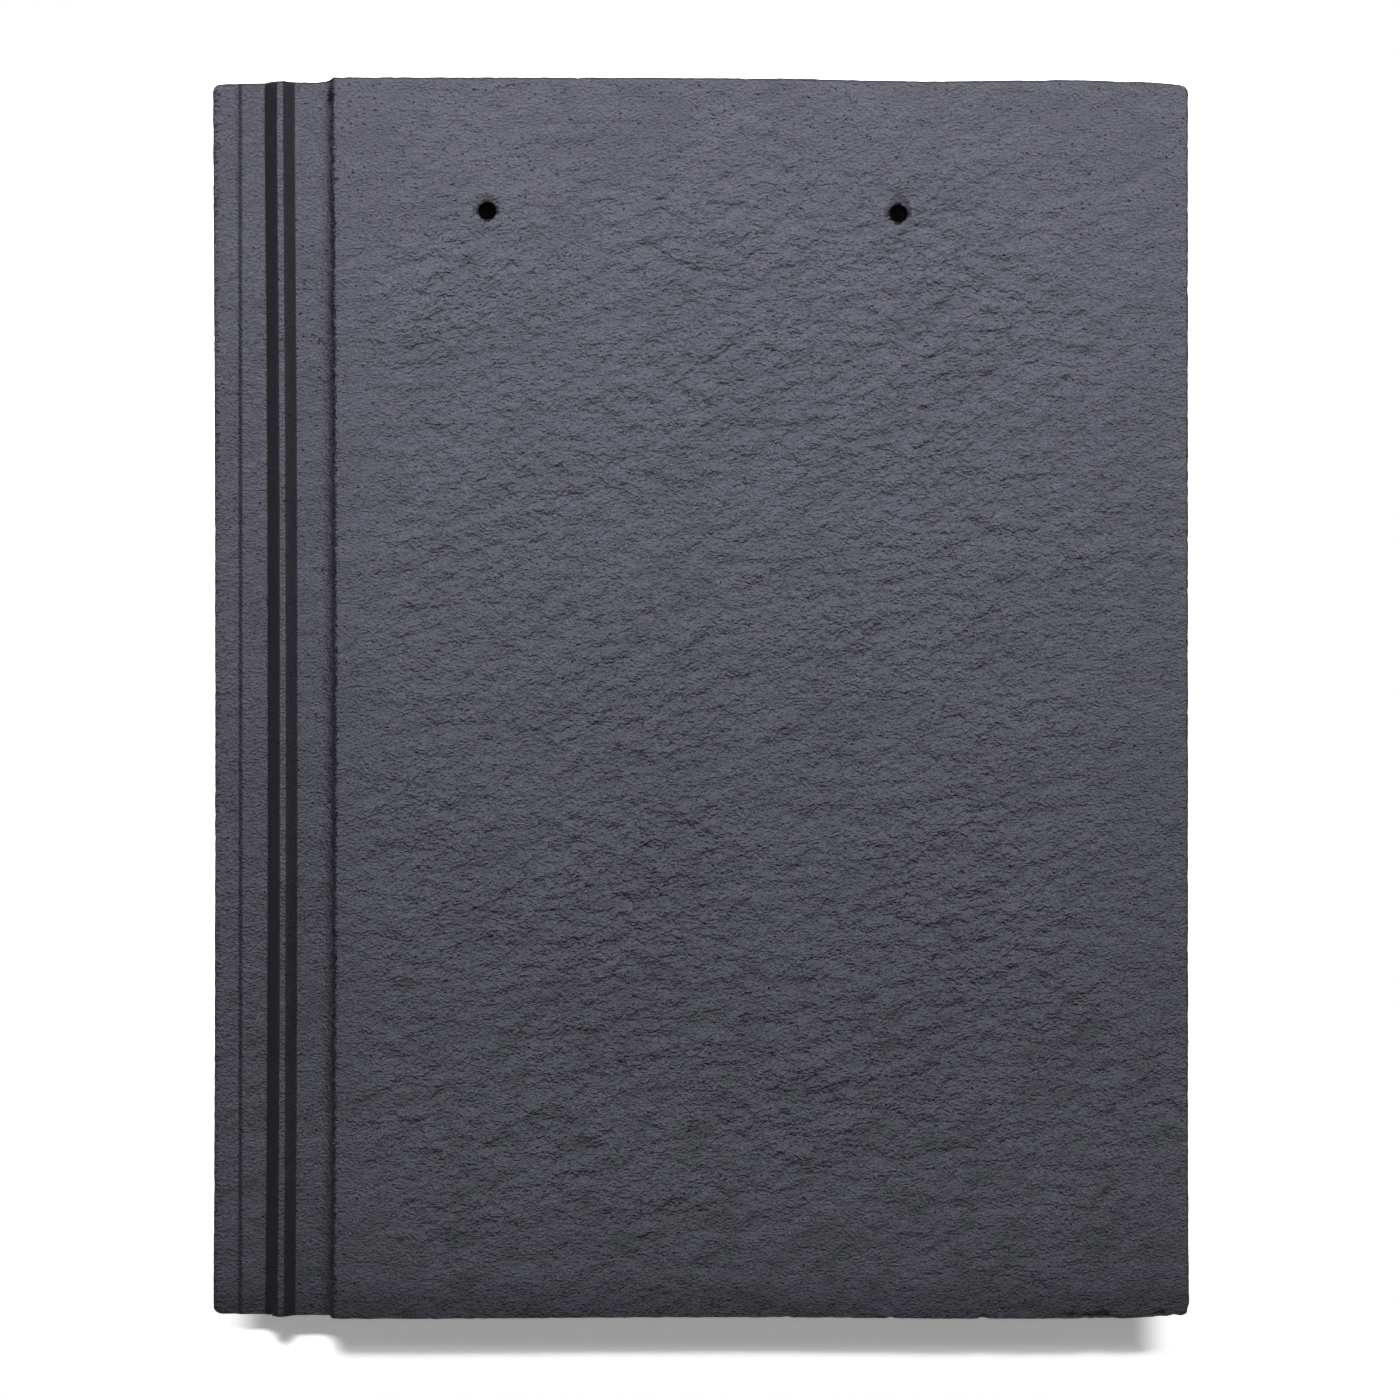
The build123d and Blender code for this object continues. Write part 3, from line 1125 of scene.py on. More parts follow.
@dataclass(frozen=True)
class OutlineDrift:
    """How far the cast outline of this tile stands in from its full size.

    Args:
        left_bow: How far the underlap is bowed in at its middle.
        bow_shift: How far towards the tail that middle lies, as a share of half the length.
        edge_share: The share of that bow that the very edge takes.
        edge_width: The width over which it does so.
        right_hollow: How far the right edge stands in above its flared tail corner.
        flare_length: The length over which that corner flares.
        head_fall: Places across the tile, and how far the head edge stands in there.
        tail_fall: The same for the tail edge.
    """

    left_bow: float = 1.1 * MM
    bow_shift: float = 0.1
    edge_share: float = 0.62
    edge_width: float = 8 * MM
    right_hollow: float = 0.3 * MM
    flare_length: float = 70 * MM
    head_fall: tuple[tuple[float, float], ...] = (
        (-165 * MM, 0.6 * MM),
        (-130 * MM, 0.45 * MM),
        (-121 * MM, 0.0),
        (-40 * MM, 0.05 * MM),
        (15 * MM, 0.3 * MM),
        (81 * MM, 1.35 * MM),
        (122 * MM, 0.9 * MM),
        (145 * MM, 1.35 * MM),
        (165 * MM, 2.5 * MM),
    )
    tail_fall: tuple[tuple[float, float], ...] = (
        (-165 * MM, 0.0),
        (-94 * MM, 0.0),
        (-10 * MM, 0.5 * MM),
        (30 * MM, 0.5 * MM),
        (90 * MM, 0.0),
        (140 * MM, 0.1 * MM),
        (165 * MM, 1.2 * MM),
    )

    @staticmethod
    def eased(places: np.ndarray, knots: tuple[tuple[float, float], ...]) -> np.ndarray:
        """Ease values between knots, with no kink at any of them.

        Args:
            places: The places that need a value.
            knots: Places, and the values there.

        Returns:
            The value of each place.
        """
        at, values = np.array(knots).T
        number = np.clip(np.searchsorted(at, places) - 1, 0, len(at) - 2)
        share = np.clip((places - at[number]) / (at[number + 1] - at[number]), 0, 1)
        share = share * share * (3 - 2 * share)
        return values[number] + (values[number + 1] - values[number]) * share

    def apply(self, points: np.ndarray, high: np.ndarray) -> None:
        """Move the points of the net in place.

        Args:
            points: The points, one row each.
            high: The highest corner of the tile's box, which is half its size from the middle.
        """
        x, y = points[:, 0].copy(), points[:, 1].copy()
        along = y / high[1]
        left = np.clip(0.5 - x / high[0] / 2, 0, 1) ** 2
        at_edge = np.clip((self.edge_width - high[0] - x) / self.edge_width, 0, 1)
        left *= 1 - (1 - self.edge_share) * at_edge
        right = np.clip(0.5 + x / high[0] / 2, 0, 1) ** 2
        bow = np.clip(1 - (along + self.bow_shift) ** 2, 0, 1)
        tail = np.clip((-high[1] + self.flare_length - y) / self.flare_length, 0, 1) ** 2
        points[:, 0] += self.left_bow * bow * left - self.right_hollow * (1 - tail) * right
        head_share = np.clip(0.5 + along / 2, 0, 1) ** 3
        tail_share = np.clip(0.5 - along / 2, 0, 1) ** 3
        points[:, 1] += self.eased(x, self.tail_fall) * tail_share
        points[:, 1] -= self.eased(x, self.head_fall) * head_share


@dataclass
class Effects:
    """The material effects of the finishes, as shader node groups."""

    # The relief of the cement, and the patches.
    fold_grain: Grain = Grain((7 * MM, 5.5 * MM, 6 * MM), turn=12, detail=3.0, rough=0.6)
    grit_grain: Grain = Grain((1.0 * MM, 0.8 * MM, 0.8 * MM), shift=6.0, detail=1.0, rough=0.7)
    patch_grain: Grain = Grain((1.5, 0.7, 1.0), turn=20, rough=0.6)
    patch_level: Ease = Ease(0.0, 1.0, 0.7, 0.3)

    # The air holes, whose radii are shares of their cell.
    wobble: Grain = Grain(detail=1.0)
    wobble_count: float = 4.5
    wobble_reach: float = 0.75
    pock_form: tuple[float, ...] = (0.75, 1.25, 1.0)
    wide_radius: float = 0.27
    small_radius: float = 0.28
    least_radius: float = 0.5
    radius_spread: float = 0.7
    pock_floor: float = 0.3
    small_depth: float = 0.85

    def __post_init__(self) -> None:
        """Build each group once."""
        self.grain = self.build_grain()
        self.pocks = self.build_pocks()
        self.patches = self.build_patches()

    @staticmethod
    def group(name: str, inputs: dict[str, Any], outputs: Sequence[str]) -> tuple[Bench, Any, bpy.types.Node]:
        """Start a shader node group.

        Args:
            name: The group's name.
            inputs: Each input's name and first value: a tuple for a vector, else a number.
            outputs: The names of its outputs, which are numbers.

        Returns:
            The group's bench, the sockets that bring its inputs, and its output node.
        """
        tree = bpy.data.node_groups.new(name, "ShaderNodeTree")
        for key, value in inputs.items():
            kind = "NodeSocketVector" if isinstance(value, tuple) else "NodeSocketFloat"
            tree.interface.new_socket(key, in_out="INPUT", socket_type=kind).default_value = value
        for key in outputs:
            tree.interface.new_socket(key, in_out="OUTPUT", socket_type="NodeSocketFloat")
        bench = Bench(tree)
        return bench, bench.put("NodeGroupInput").outputs, bench.put("NodeGroupOutput")

    def build_grain(self) -> bpy.types.NodeTree:
        """Build the fine relief of the cement.

        Returns:
            The group, which gives a height in metres and a grit that changes the tone.
        """
        inputs = {"Place": (0.0, 0.0, 0.0), "Liveliness": 1.0, "Relief": 2.6 * MM, "Grit": 0.5 * MM}
        bench, given, result = self.group("cement_grain", inputs, ("Height", "Tone"))
        grit = bench.noise(given["Place"], self.grit_grain)
        folds = bench.noise(given["Place"], self.fold_grain)
        folds = bench.product(folds, given["Relief"], given["Liveliness"])
        bench.fill(result.inputs["Height"], bench.moved(folds, grit, given["Grit"]))
        bench.fill(result.inputs["Tone"], grit)
        return bench.tree

    def build_pocks(self) -> bpy.types.NodeTree:
        """Build ragged air holes, a few wide and more of them small.

        Returns:
            The group, which gives a mask that is 1 at their middles.
        """
        inputs = {"Place": (0.0, 0.0, 0.0), "Cell": 2.6 * MM, "Wide": 0.03, "Small": 0.2}
        bench, given, result = self.group("air_pocks", inputs, ("Mask",))
        place = bench.scaled(given["Place"], bench.math("DIVIDE", 1.0, given["Cell"]))
        place = bench.vector("MULTIPLY", place, self.pock_form)
        wobble = bench.ragged(bench.scaled(place, self.wobble_count), self.wobble)
        away, random = bench.cells(place)
        away, share = bench.moved(away, wobble, self.wobble_reach), bench.split(random)
        wide = bench.math("LESS_THAN", share[0], given["Wide"])
        small = bench.math("LESS_THAN", share[1], given["Small"])
        radius = bench.largest(
            bench.product(wide, self.wide_radius), bench.product(small, self.small_radius)
        )
        varied = bench.math("MULTIPLY_ADD", share[2], self.radius_spread, self.least_radius)
        radius = bench.product(radius, varied)
        depth = bench.span(away, radius, bench.product(radius, self.pock_floor))
        kept = bench.largest(wide, bench.product(small, self.small_depth))
        bench.fill(result.inputs["Mask"], bench.product(depth, kept))
        return bench.tree

    def build_patches(self) -> bpy.types.NodeTree:
        """Build soft patches that lean up to the right.

        Returns:
            The group, which gives a mask from 0 to 1.
        """
        inputs = {"Place": (0.0, 0.0, 0.0), "Size": 20 * MM, "Share": 0.5, "Softness": 0.12}
        bench, given, result = self.group("coat_patches", inputs, ("Mask",))
        place = bench.scaled(given["Place"], bench.math("DIVIDE", 1.0, given["Size"]))
        low = bench.eased(given["Share"], self.patch_level)
        high = bench.math("ADD", low, given["Softness"])
        bench.fill(result.inputs["Mask"], bench.span(bench.noise(place, self.patch_grain), low, high))
        return bench.tree


class Finish:
    """A finish of the concrete, which starts from a plain surface, on the tile's own coordinates."""

    SPECULAR = 0.15

    def __init__(self, name: str, roughness: float) -> None:
        """Start the material.

        Args:
            name: The material's name.
            roughness: The roughness of the bare surface.
        """
        self.material = bpy.data.materials.new(name)
        self.material.use_nodes = True
        self.bench = Bench(self.material.node_tree)
        self.surface = self.material.node_tree.nodes["Principled BSDF"]
        self.surface.inputs["Roughness"].default_value = roughness
        self.surface.inputs["Specular IOR Level"].default_value = self.SPECULAR
        self.place = self.bench.put("ShaderNodeTexCoord").outputs["Object"]

    def zone(self, name: str) -> Socket:
        """Return one of the numbers that the cast skin stores on the mesh."""
        return self.bench.put("ShaderNodeAttribute", attribute_name=name).outputs["Fac"]

    def effect(self, group: bpy.types.NodeTree, **inputs: Any) -> bpy.types.Node:
        """Place a shared effect, with its inputs by name."""
        values = {"Place": self.place} | {key.capitalize(): value for key, value in inputs.items()}
        return self.bench.put("ShaderNodeGroup", values, node_tree=group)

    def cover(self, colour: Socket, shade: Socket, height: Socket) -> bpy.types.Material:
        """Give the surface its colour and relief.

        Args:
            colour: The colour.
            shade: What it keeps of its lightness.
            height: The relief's height in metres.

        Returns:
            The finished material.
        """
        inputs = {"Height": height, "Strength": 1.0, "Distance": 1.0}
        bump = self.bench.put("ShaderNodeBump", inputs).outputs[0]
        self.bench.fill(self.surface.inputs["Base Color"], self.bench.scaled(colour, shade))
        self.bench.fill(self.surface.inputs["Normal"], bump)
        return self.material


@dataclass(frozen=True)
class WeatherCoat:
    """The blue grey slurry coat of the weather face and the channels.

    Args:
        tone: The coat's colour where it is thick.
        mottle_and_shade_tone: Its darker, duller colour in patches, partly a random mottle and partly painted
            shade, as they grow towards the tail and into the hollows.
        flank_shade: What the steep flanks keep of the coat's lightness, as painted shade.
        line_shade: What the ragged line of painted shade under the step's upper edge keeps of it.
        lip_shade: What the fine line of painted shade along the lip's bevel keeps of it.
        ridge_middle: The place across the tile of the middle of the ridge.
        lip_line: The place across the tile of the line along the lip.
        chip_place: The place along the tile of the chip in the step near the head, painted dark as its shade.
        roughness: The coat's roughness.
    """

    tone: Colour = (0.098, 0.098, 0.122)
    mottle_and_shade_tone: Colour = (0.080, 0.084, 0.090)
    flank_shade: float = 0.34
    line_shade: float = 0.05
    lip_shade: float = 0.38
    ridge_middle: float = -141.5 * MM
    lip_line: float = -155.5 * MM
    chip_place: float = 203.4 * MM
    roughness: float = 0.85

    # The relief, by the place on the tile.
    hole_dimple: Ease = Ease(6.5 * MM, 5.5 * MM)
    level_by_step: float = -8 * MM
    level_by_lip: float = -152 * MM
    folds: float = 5.6 * MM
    folds_along: Ease = Ease(40 * MM, -100 * MM, 0.97, 1.3)
    folds_across: Ease = Ease(85 * MM, 135 * MM, 1.0, 0.82)
    grit: Ease = Ease(190 * MM, -140 * MM, 1.0 * MM, 1.8 * MM)
    steep_grit: float = 0.3

    # The air holes, and the share of small ones among them.
    pock_cell: float = 1.8 * MM
    wide_pocks: float = 0.03
    pock_clouds: Ease = Ease(0.38, 0.62, 0.3, 1.5)
    pocks_by_head: Ease = Ease(110 * MM, 195 * MM, 0.1, 0.55)
    pocks_by_left: Ease = Ease(-120 * MM, -155 * MM, 0.12, 0.5)
    pocks_by_step: Ease = Ease(4 * MM, 1 * MM, 0.0, 0.7)
    pocks_by_edge: Ease = Ease(-158 * MM, -163.5 * MM, 0.4, 1.0)
    pock_row: float = -1.8 * MM

    # The darker patches: partly a random mottle, partly painted shade that grows towards the tail and into
    # the hollows.
    mottle_and_shade_along: Ease = Ease(60 * MM, -200 * MM, 0.62, 0.42)
    mottle_and_shade_by_hollow: float = -0.12
    mottle_edge: float = 0.26

    # What the face keeps of its lightness; most of these are painted light and shade, as marked.
    # Partly the grit's own tone, partly painted glints: its bright end is stretched to stand in for
    # highlights on the grains.
    grit_shade: Ease = Ease(0.35, 0.85, 0.92, 1.35)
    # Painted shade: darker in the broad hollows of the relief.
    hollow_shade: Ease = Ease(0.1, 0.9, 1.05, 0.92)
    # Painted shade: darker in the air holes.
    pock_shade: Ease = Ease(0.0, 0.9, 1.0, 0.1)
    # Painted shade: darker towards both sides, as the light falls off there.
    left_shade: Ease = Ease(-90 * MM, -150 * MM, 1.03, 0.87)
    right_shade: Ease = Ease(100 * MM, 160 * MM, 1.0, 0.95)
    # Painted shade: darker over the last 18 mm before the tail edge.
    tail_shade: Ease = Ease(-209 * MM, -191 * MM, 0.62, 1.0)
    # Painted light: lighter over the lower half, and most of all round a band near the tail, to even out the
    # key light's fall-off.
    lower_shade: Ease = Ease(-10 * MM, -60 * MM, 1.0, 1.03)
    pale_band: float = -158 * MM
    band_shade: Ease = Ease(60 * MM, 0.0, 1.0, 1.12)
    rim_shade: Ease = Ease(0.0, 0.5 * MM, 0.4, 1.0)
    # Painted shade: darker in the chips along the head and tail edges.
    chipped_shade: Ease = Ease(0.05, 0.5, 1.0, 0.3)
    # Painted shade: the ridge's outer flank is darker still by this share.
    outer_flank: float = 0.55

    # The holes: painted shade on each hole's ragged rim, and in a halo on its head side.
    hole_ragged: Grain = Grain((1.1 * MM,) * 3, shift=4.0, detail=1.0)
    rim_ragged: float = 1.6 * MM
    hole_rim: Ease = Ease(2.95 * MM, 3.6 * MM, 0.08, 1.0)
    halo_shade: Ease = Ease(3.0 * MM, 5.0 * MM, 0.62, 1.0)

    # The ragged painted shade line under the step, the painted shade of the chip in it and beside the step,
    # the painted shade line along the lip, and the darker ragged left edge.
    ragged: Grain = Grain((1.8 * MM, 0.75 * MM, 2 * MM), shift=2.0, rough=0.7)
    line_drop: float = 0.75 * MM
    line_ragged: float = 7.5 * MM
    line_core: float = 0.2 * MM
    line_thick: Ease = Ease(195 * MM, 120 * MM, 0.95 * MM, 0.75 * MM)
    chip_stretch: float = 0.4
    chip_drop: float = 1.7 * MM
    chip_ragged: float = 3.0 * MM
    chip_dark: Ease = Ease(0.6 * MM, 1.3 * MM, 0.05, 1.0)
    painted_step_shade_ragged: float = 5.0 * MM
    painted_step_shade_reach: tuple[float, ...] = (-6.5 * MM, -1.0 * MM)
    painted_step_shade_end: float = 0.4 * MM
    painted_step_shade_depth: Ease = Ease(190 * MM, 90 * MM, 1.0, 0.74)
    lip_ragged: float = 1.0 * MM
    lip_reach: tuple[float, ...] = (0.3 * MM, 1.0 * MM)
    edge_ragged: float = 10.0 * MM
    edge_shade: Ease = Ease(-164.3 * MM, -163.7 * MM, 0.3, 1.0)

    def material(self, effects: Effects) -> bpy.types.Material:
        """Make the finish.

        Args:
            effects: The shared effects.

        Returns:
            Its material.
        """
        look = Finish("weather_coat", self.roughness)
        bench = look.bench
        x, y, _ = bench.split(look.place)
        hollow, level = look.zone("hollow"), self.level(look, x)
        held = bench.math("MULTIPLY_ADD", level, 1 - self.steep_grit, self.steep_grit)
        across = bench.eased(bench.math("ABSOLUTE", x), self.folds_across)
        folds = bench.product(look.zone("lively"), level, bench.eased(y, self.folds_along), across)
        grit = bench.product(held, bench.eased(y, self.grit))
        grain = look.effect(effects.grain, liveliness=folds, relief=self.folds, grit=grit)
        pocks = look.effect(
            effects.pocks, cell=self.pock_cell, wide=self.wide_pocks, small=self.small_pocks(look, x, y)
        )
        shade = bench.product(
            bench.eased(grain.outputs["Tone"], self.grit_shade),
            bench.eased(hollow, self.hollow_shade),
            bench.eased(pocks.outputs[0], self.pock_shade),
            bench.eased(x, self.left_shade),
            bench.eased(x, self.right_shade),
            bench.eased(y, self.tail_shade),
            bench.eased(y, self.lower_shade),
            bench.eased(bench.away(y, self.pale_band), self.band_shade),
            self.lap_shade(look, level),
            self.hole_shade(look),
            bench.eased(look.zone("rim"), self.rim_shade),
            bench.eased(look.zone("broken"), self.chipped_shade),
        )
        return look.cover(self.coat(look, y, hollow), shade, grain.outputs["Height"])

    def level(self, look: Finish, x: Socket) -> Socket:
        """Tell the level parts of the coat from the flanks.

        Args:
            look: The finish, as far as it is made.
            x: The place across the tile.

        Returns:
            A number that is 1 where the coat lies level, as on the face and the lip.
        """
        bench = look.bench
        return bench.largest(
            look.zone("flat"),
            bench.eased(look.zone("hole"), self.hole_dimple),
            bench.math("GREATER_THAN", look.zone("step"), self.level_by_step),
            bench.math("LESS_THAN", x, self.level_by_lip),
        )

    def small_pocks(self, look: Finish, x: Socket, y: Socket) -> Socket:
        """Spread the small air holes, with more near the head, the step and the left edge.

        Args:
            look: The finish, as far as it is made.
            x: The place across the tile.
            y: The place along the tile.

        Returns:
            The share of cells that have one.
        """
        bench = look.bench
        beside = bench.away(look.zone("step"), self.pock_row)
        share = bench.largest(bench.eased(y, self.pocks_by_head), bench.eased(x, self.pocks_by_left))
        share = bench.product(share, bench.eased(look.zone("cloud"), self.pock_clouds))
        by_step, by_edge = bench.eased(beside, self.pocks_by_step), bench.eased(x, self.pocks_by_edge)
        return bench.largest(share, by_step, by_edge)

    def coat(self, look: Finish, y: Socket, hollow: Socket) -> Socket:
        """Colour the coat, with darker patches of mottle and painted shade that grow towards the tail and
        into the hollows.

        Args:
            look: The finish, as far as it is made.
            y: The place along the tile.
            hollow: How deep the broad hollows are.

        Returns:
            The colour.
        """
        bench = look.bench
        least = bench.eased(y, self.mottle_and_shade_along)
        least = bench.moved(least, bench.math("SUBTRACT", hollow, 0.5), self.mottle_and_shade_by_hollow)
        mottle_and_shade = bench.span(look.zone("cloud"), least, bench.math("ADD", least, self.mottle_edge))
        return bench.blend(mottle_and_shade, self.tone, self.mottle_and_shade_tone)

    def lap_shade(self, look: Finish, level: Socket) -> Socket:
        """Paint shade on the flanks, in a ragged line under the step's edge and beside the step, and in a
        line along the lip, and darken the ragged left edge.

        Args:
            look: The finish, as far as it is made.
            level: The number that is 1 on level parts.

        Returns:
            What they keep of the coat's lightness.
        """
        bench, step = look.bench, look.zone("step")
        x, y, _ = bench.split(look.place)
        ragged = bench.ragged(look.place, self.ragged)
        # Painted shade: a ragged dark line under the step's upper edge.
        under = bench.moved(bench.math("ADD", step, self.line_drop), ragged, self.line_ragged)
        thick = bench.eased(y, self.line_thick)
        line = bench.span(bench.math("ABSOLUTE", under), self.line_core, thick, self.line_shade, 1.0)
        # Painted shade: the channel beside the step darkens towards the step, except near the head.
        spread = bench.moved(step, ragged, self.painted_step_shade_ragged)
        painted_step_shade = bench.span(spread, *self.painted_step_shade_reach, 1.0, bench.eased(y, self.painted_step_shade_depth))
        painted_step_shade = bench.largest(painted_step_shade, bench.math("GREATER_THAN", under, self.painted_step_shade_end))
        # Painted shade: a fine ragged dark line along the lip's bevel.
        beside = bench.moved(bench.math("SUBTRACT", x, self.lip_line), ragged, self.lip_ragged)
        lip = bench.span(bench.math("ABSOLUTE", beside), *self.lip_reach, self.lip_shade, 1.0)
        edge = bench.eased(bench.moved(x, ragged, self.edge_ragged), self.edge_shade)
        # Painted shade on the steep flanks, darker on the ridge's outer flank.
        outer = bench.math("LESS_THAN", x, self.ridge_middle)
        kept = bench.math("MULTIPLY_ADD", outer, -self.outer_flank * self.flank_shade, self.flank_shade)
        flank = bench.moved(kept, level, bench.math("SUBTRACT", 1.0, kept))
        return bench.product(flank, line, painted_step_shade, lip, edge, self.chip_shade(bench, step, y, ragged))

    def chip_shade(self, bench: Bench, step: Socket, y: Socket, ragged: Socket) -> Socket:
        """Paint the shade of the chip that is knocked out of the step near the head, as a dark ragged spot.

        Args:
            bench: The tree's bench.
            step: The place across the tile from the step's edge.
            y: The place along the tile.
            ragged: The noise that makes its outline ragged.

        Returns:
            What it keeps of the coat's lightness.
        """
        along = bench.product(bench.math("SUBTRACT", y, self.chip_place), self.chip_stretch)
        across = bench.math("ADD", step, self.chip_drop)
        squares = (bench.math("POWER", way, 2.0) for way in (along, across))
        far = bench.math("SQRT", bench.math("ADD", *squares))
        return bench.eased(bench.moved(far, ragged, self.chip_ragged), self.chip_dark)

    def hole_shade(self, look: Finish) -> Socket:
        """Paint shade on the ragged rim of a nail hole, and in a halo above it on its head side.

        Args:
            look: The finish, as far as it is made.

        Returns:
            What they keep of the coat's lightness.
        """
        bench = look.bench
        ragged = bench.ragged(look.place, self.hole_ragged)
        rim = bench.eased(bench.moved(look.zone("hole"), ragged, self.rim_ragged), self.hole_rim)
        return bench.product(rim, bench.eased(look.zone("halo"), self.halo_shade))


@dataclass(frozen=True)
class CutEnd:
    """The rough grey concrete of the head and tail edges, which are cut off wet, and of the nail holes.

    Args:
        tone: The colour of the cut concrete.
        roughness: Its roughness.
    """

    tone: Colour = (0.060, 0.061, 0.068)
    roughness: float = 0.9

    grit_shade: Ease = Ease(0.3, 0.7, 0.75, 1.25)
    # Painted shade: darker in the air holes, and down the bore of each nail hole.
    pock_shade: Ease = Ease(0.0, 1.0, 1.0, 0.35)
    hole_shade: Ease = Ease(3.2 * MM, 4.2 * MM, 0.2, 1.0)
    pock_depth: float = -0.5 * MM

    def material(self, effects: Effects) -> bpy.types.Material:
        """Make the finish.

        Args:
            effects: The shared effects.

        Returns:
            Its material.
        """
        look = Finish("cut_end", self.roughness)
        bench = look.bench
        grain = look.effect(effects.grain, relief=3.0 * MM).outputs
        pocks = look.effect(effects.pocks, cell=2.2 * MM, wide=0.2, small=0.5).outputs[0]
        shade = bench.product(
            bench.eased(grain["Tone"], self.grit_shade),
            bench.eased(pocks, self.pock_shade),
            bench.eased(look.zone("hole"), self.hole_shade),
        )
        height = bench.moved(grain["Height"], pocks, self.pock_depth)
        return look.cover(bench.colour(self.tone), shade, height)


@dataclass(frozen=True)
class MouldedFace:
    """The smooth grey underside and sides, which take the face of the pallet.

    Args:
        tone: The colour of the moulded concrete.
        pale_tone: Its colour in the pale, limy patches.
        roughness: Its roughness.
    """

    tone: Colour = (0.105, 0.107, 0.112)
    pale_tone: Colour = (0.145, 0.146, 0.148)
    roughness: float = 0.8

    grit_shade: Ease = Ease(0.3, 0.7, 0.9, 1.1)
    # Painted shade: darker in the air holes.
    pock_shade: Ease = Ease(0.0, 1.0, 1.0, 0.4)
    pock_depth: float = -0.5 * MM

    def material(self, effects: Effects) -> bpy.types.Material:
        """Make the finish.

        Args:
            effects: The shared effects.

        Returns:
            Its material.
        """
        look = Finish("moulded_face", self.roughness)
        bench = look.bench
        grain = look.effect(effects.grain, relief=0.5 * MM).outputs
        pocks = look.effect(effects.pocks, cell=3.4 * MM, wide=0.05, small=0.2).outputs[0]
        patches = look.effect(effects.patches, size=30 * MM, share=0.4, softness=0.3).outputs[0]
        shade = bench.product(
            bench.eased(grain["Tone"], self.grit_shade), bench.eased(pocks, self.pock_shade)
        )
        height = bench.moved(grain["Height"], pocks, self.pock_depth)
        return look.cover(bench.blend(patches, self.tone, self.pale_tone), shade, height)


@dataclass
class RoofTile:
    """The whole tile: one casting, with its net, its skin, its outline and its finishes.

    Args:
        name: The name of the finished piece.
        sharp_angle: The angle between two faces, in degrees, past which their edge is sharp.
    """

    name: str = "cast_tile"
    sharp_angle: float = 38.0

    def build(self, shape: CastShape) -> bpy.types.Object:
        """Build the tile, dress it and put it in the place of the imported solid.

        Args:
            shape: The cast shape.

        Returns:
            The finished piece.
        """
        effects = Effects()
        finishes = {
            Zone.WEATHER: WeatherCoat().material(effects),
            Zone.CUT: CutEnd().material(effects),
            Zone.MOULDED: MouldedFace().material(effects),
        }
        tile = in_scene(self.name, TileNet(shape).build())
        tile.data = CastSkin().apply(tile, shape, finishes)
        self.trim(tile.data, shape)
        tile.data.polygons.foreach_set("use_smooth", [True] * len(tile.data.polygons))
        tile.data.set_sharp_from_angle(angle=math.radians(self.sharp_angle))
        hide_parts(TILE_NODE)
        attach(tile, ROOT_BODY)
        return tile

    @staticmethod
    def trim(mesh: bpy.types.Mesh, shape: CastShape) -> None:
        """Draw the outline in, and keep every point inside the solid's box.

        Args:
            mesh: The mesh to trim in place.
            shape: The cast shape.
        """
        flat = np.empty(len(mesh.vertices) * 3)
        mesh.vertices.foreach_get("co", flat)
        points = flat.reshape(-1, 3)
        OutlineDrift().apply(points, shape.high)
        mesh.vertices.foreach_set("co", np.clip(points, shape.low, shape.high).ravel())
        mesh.update()


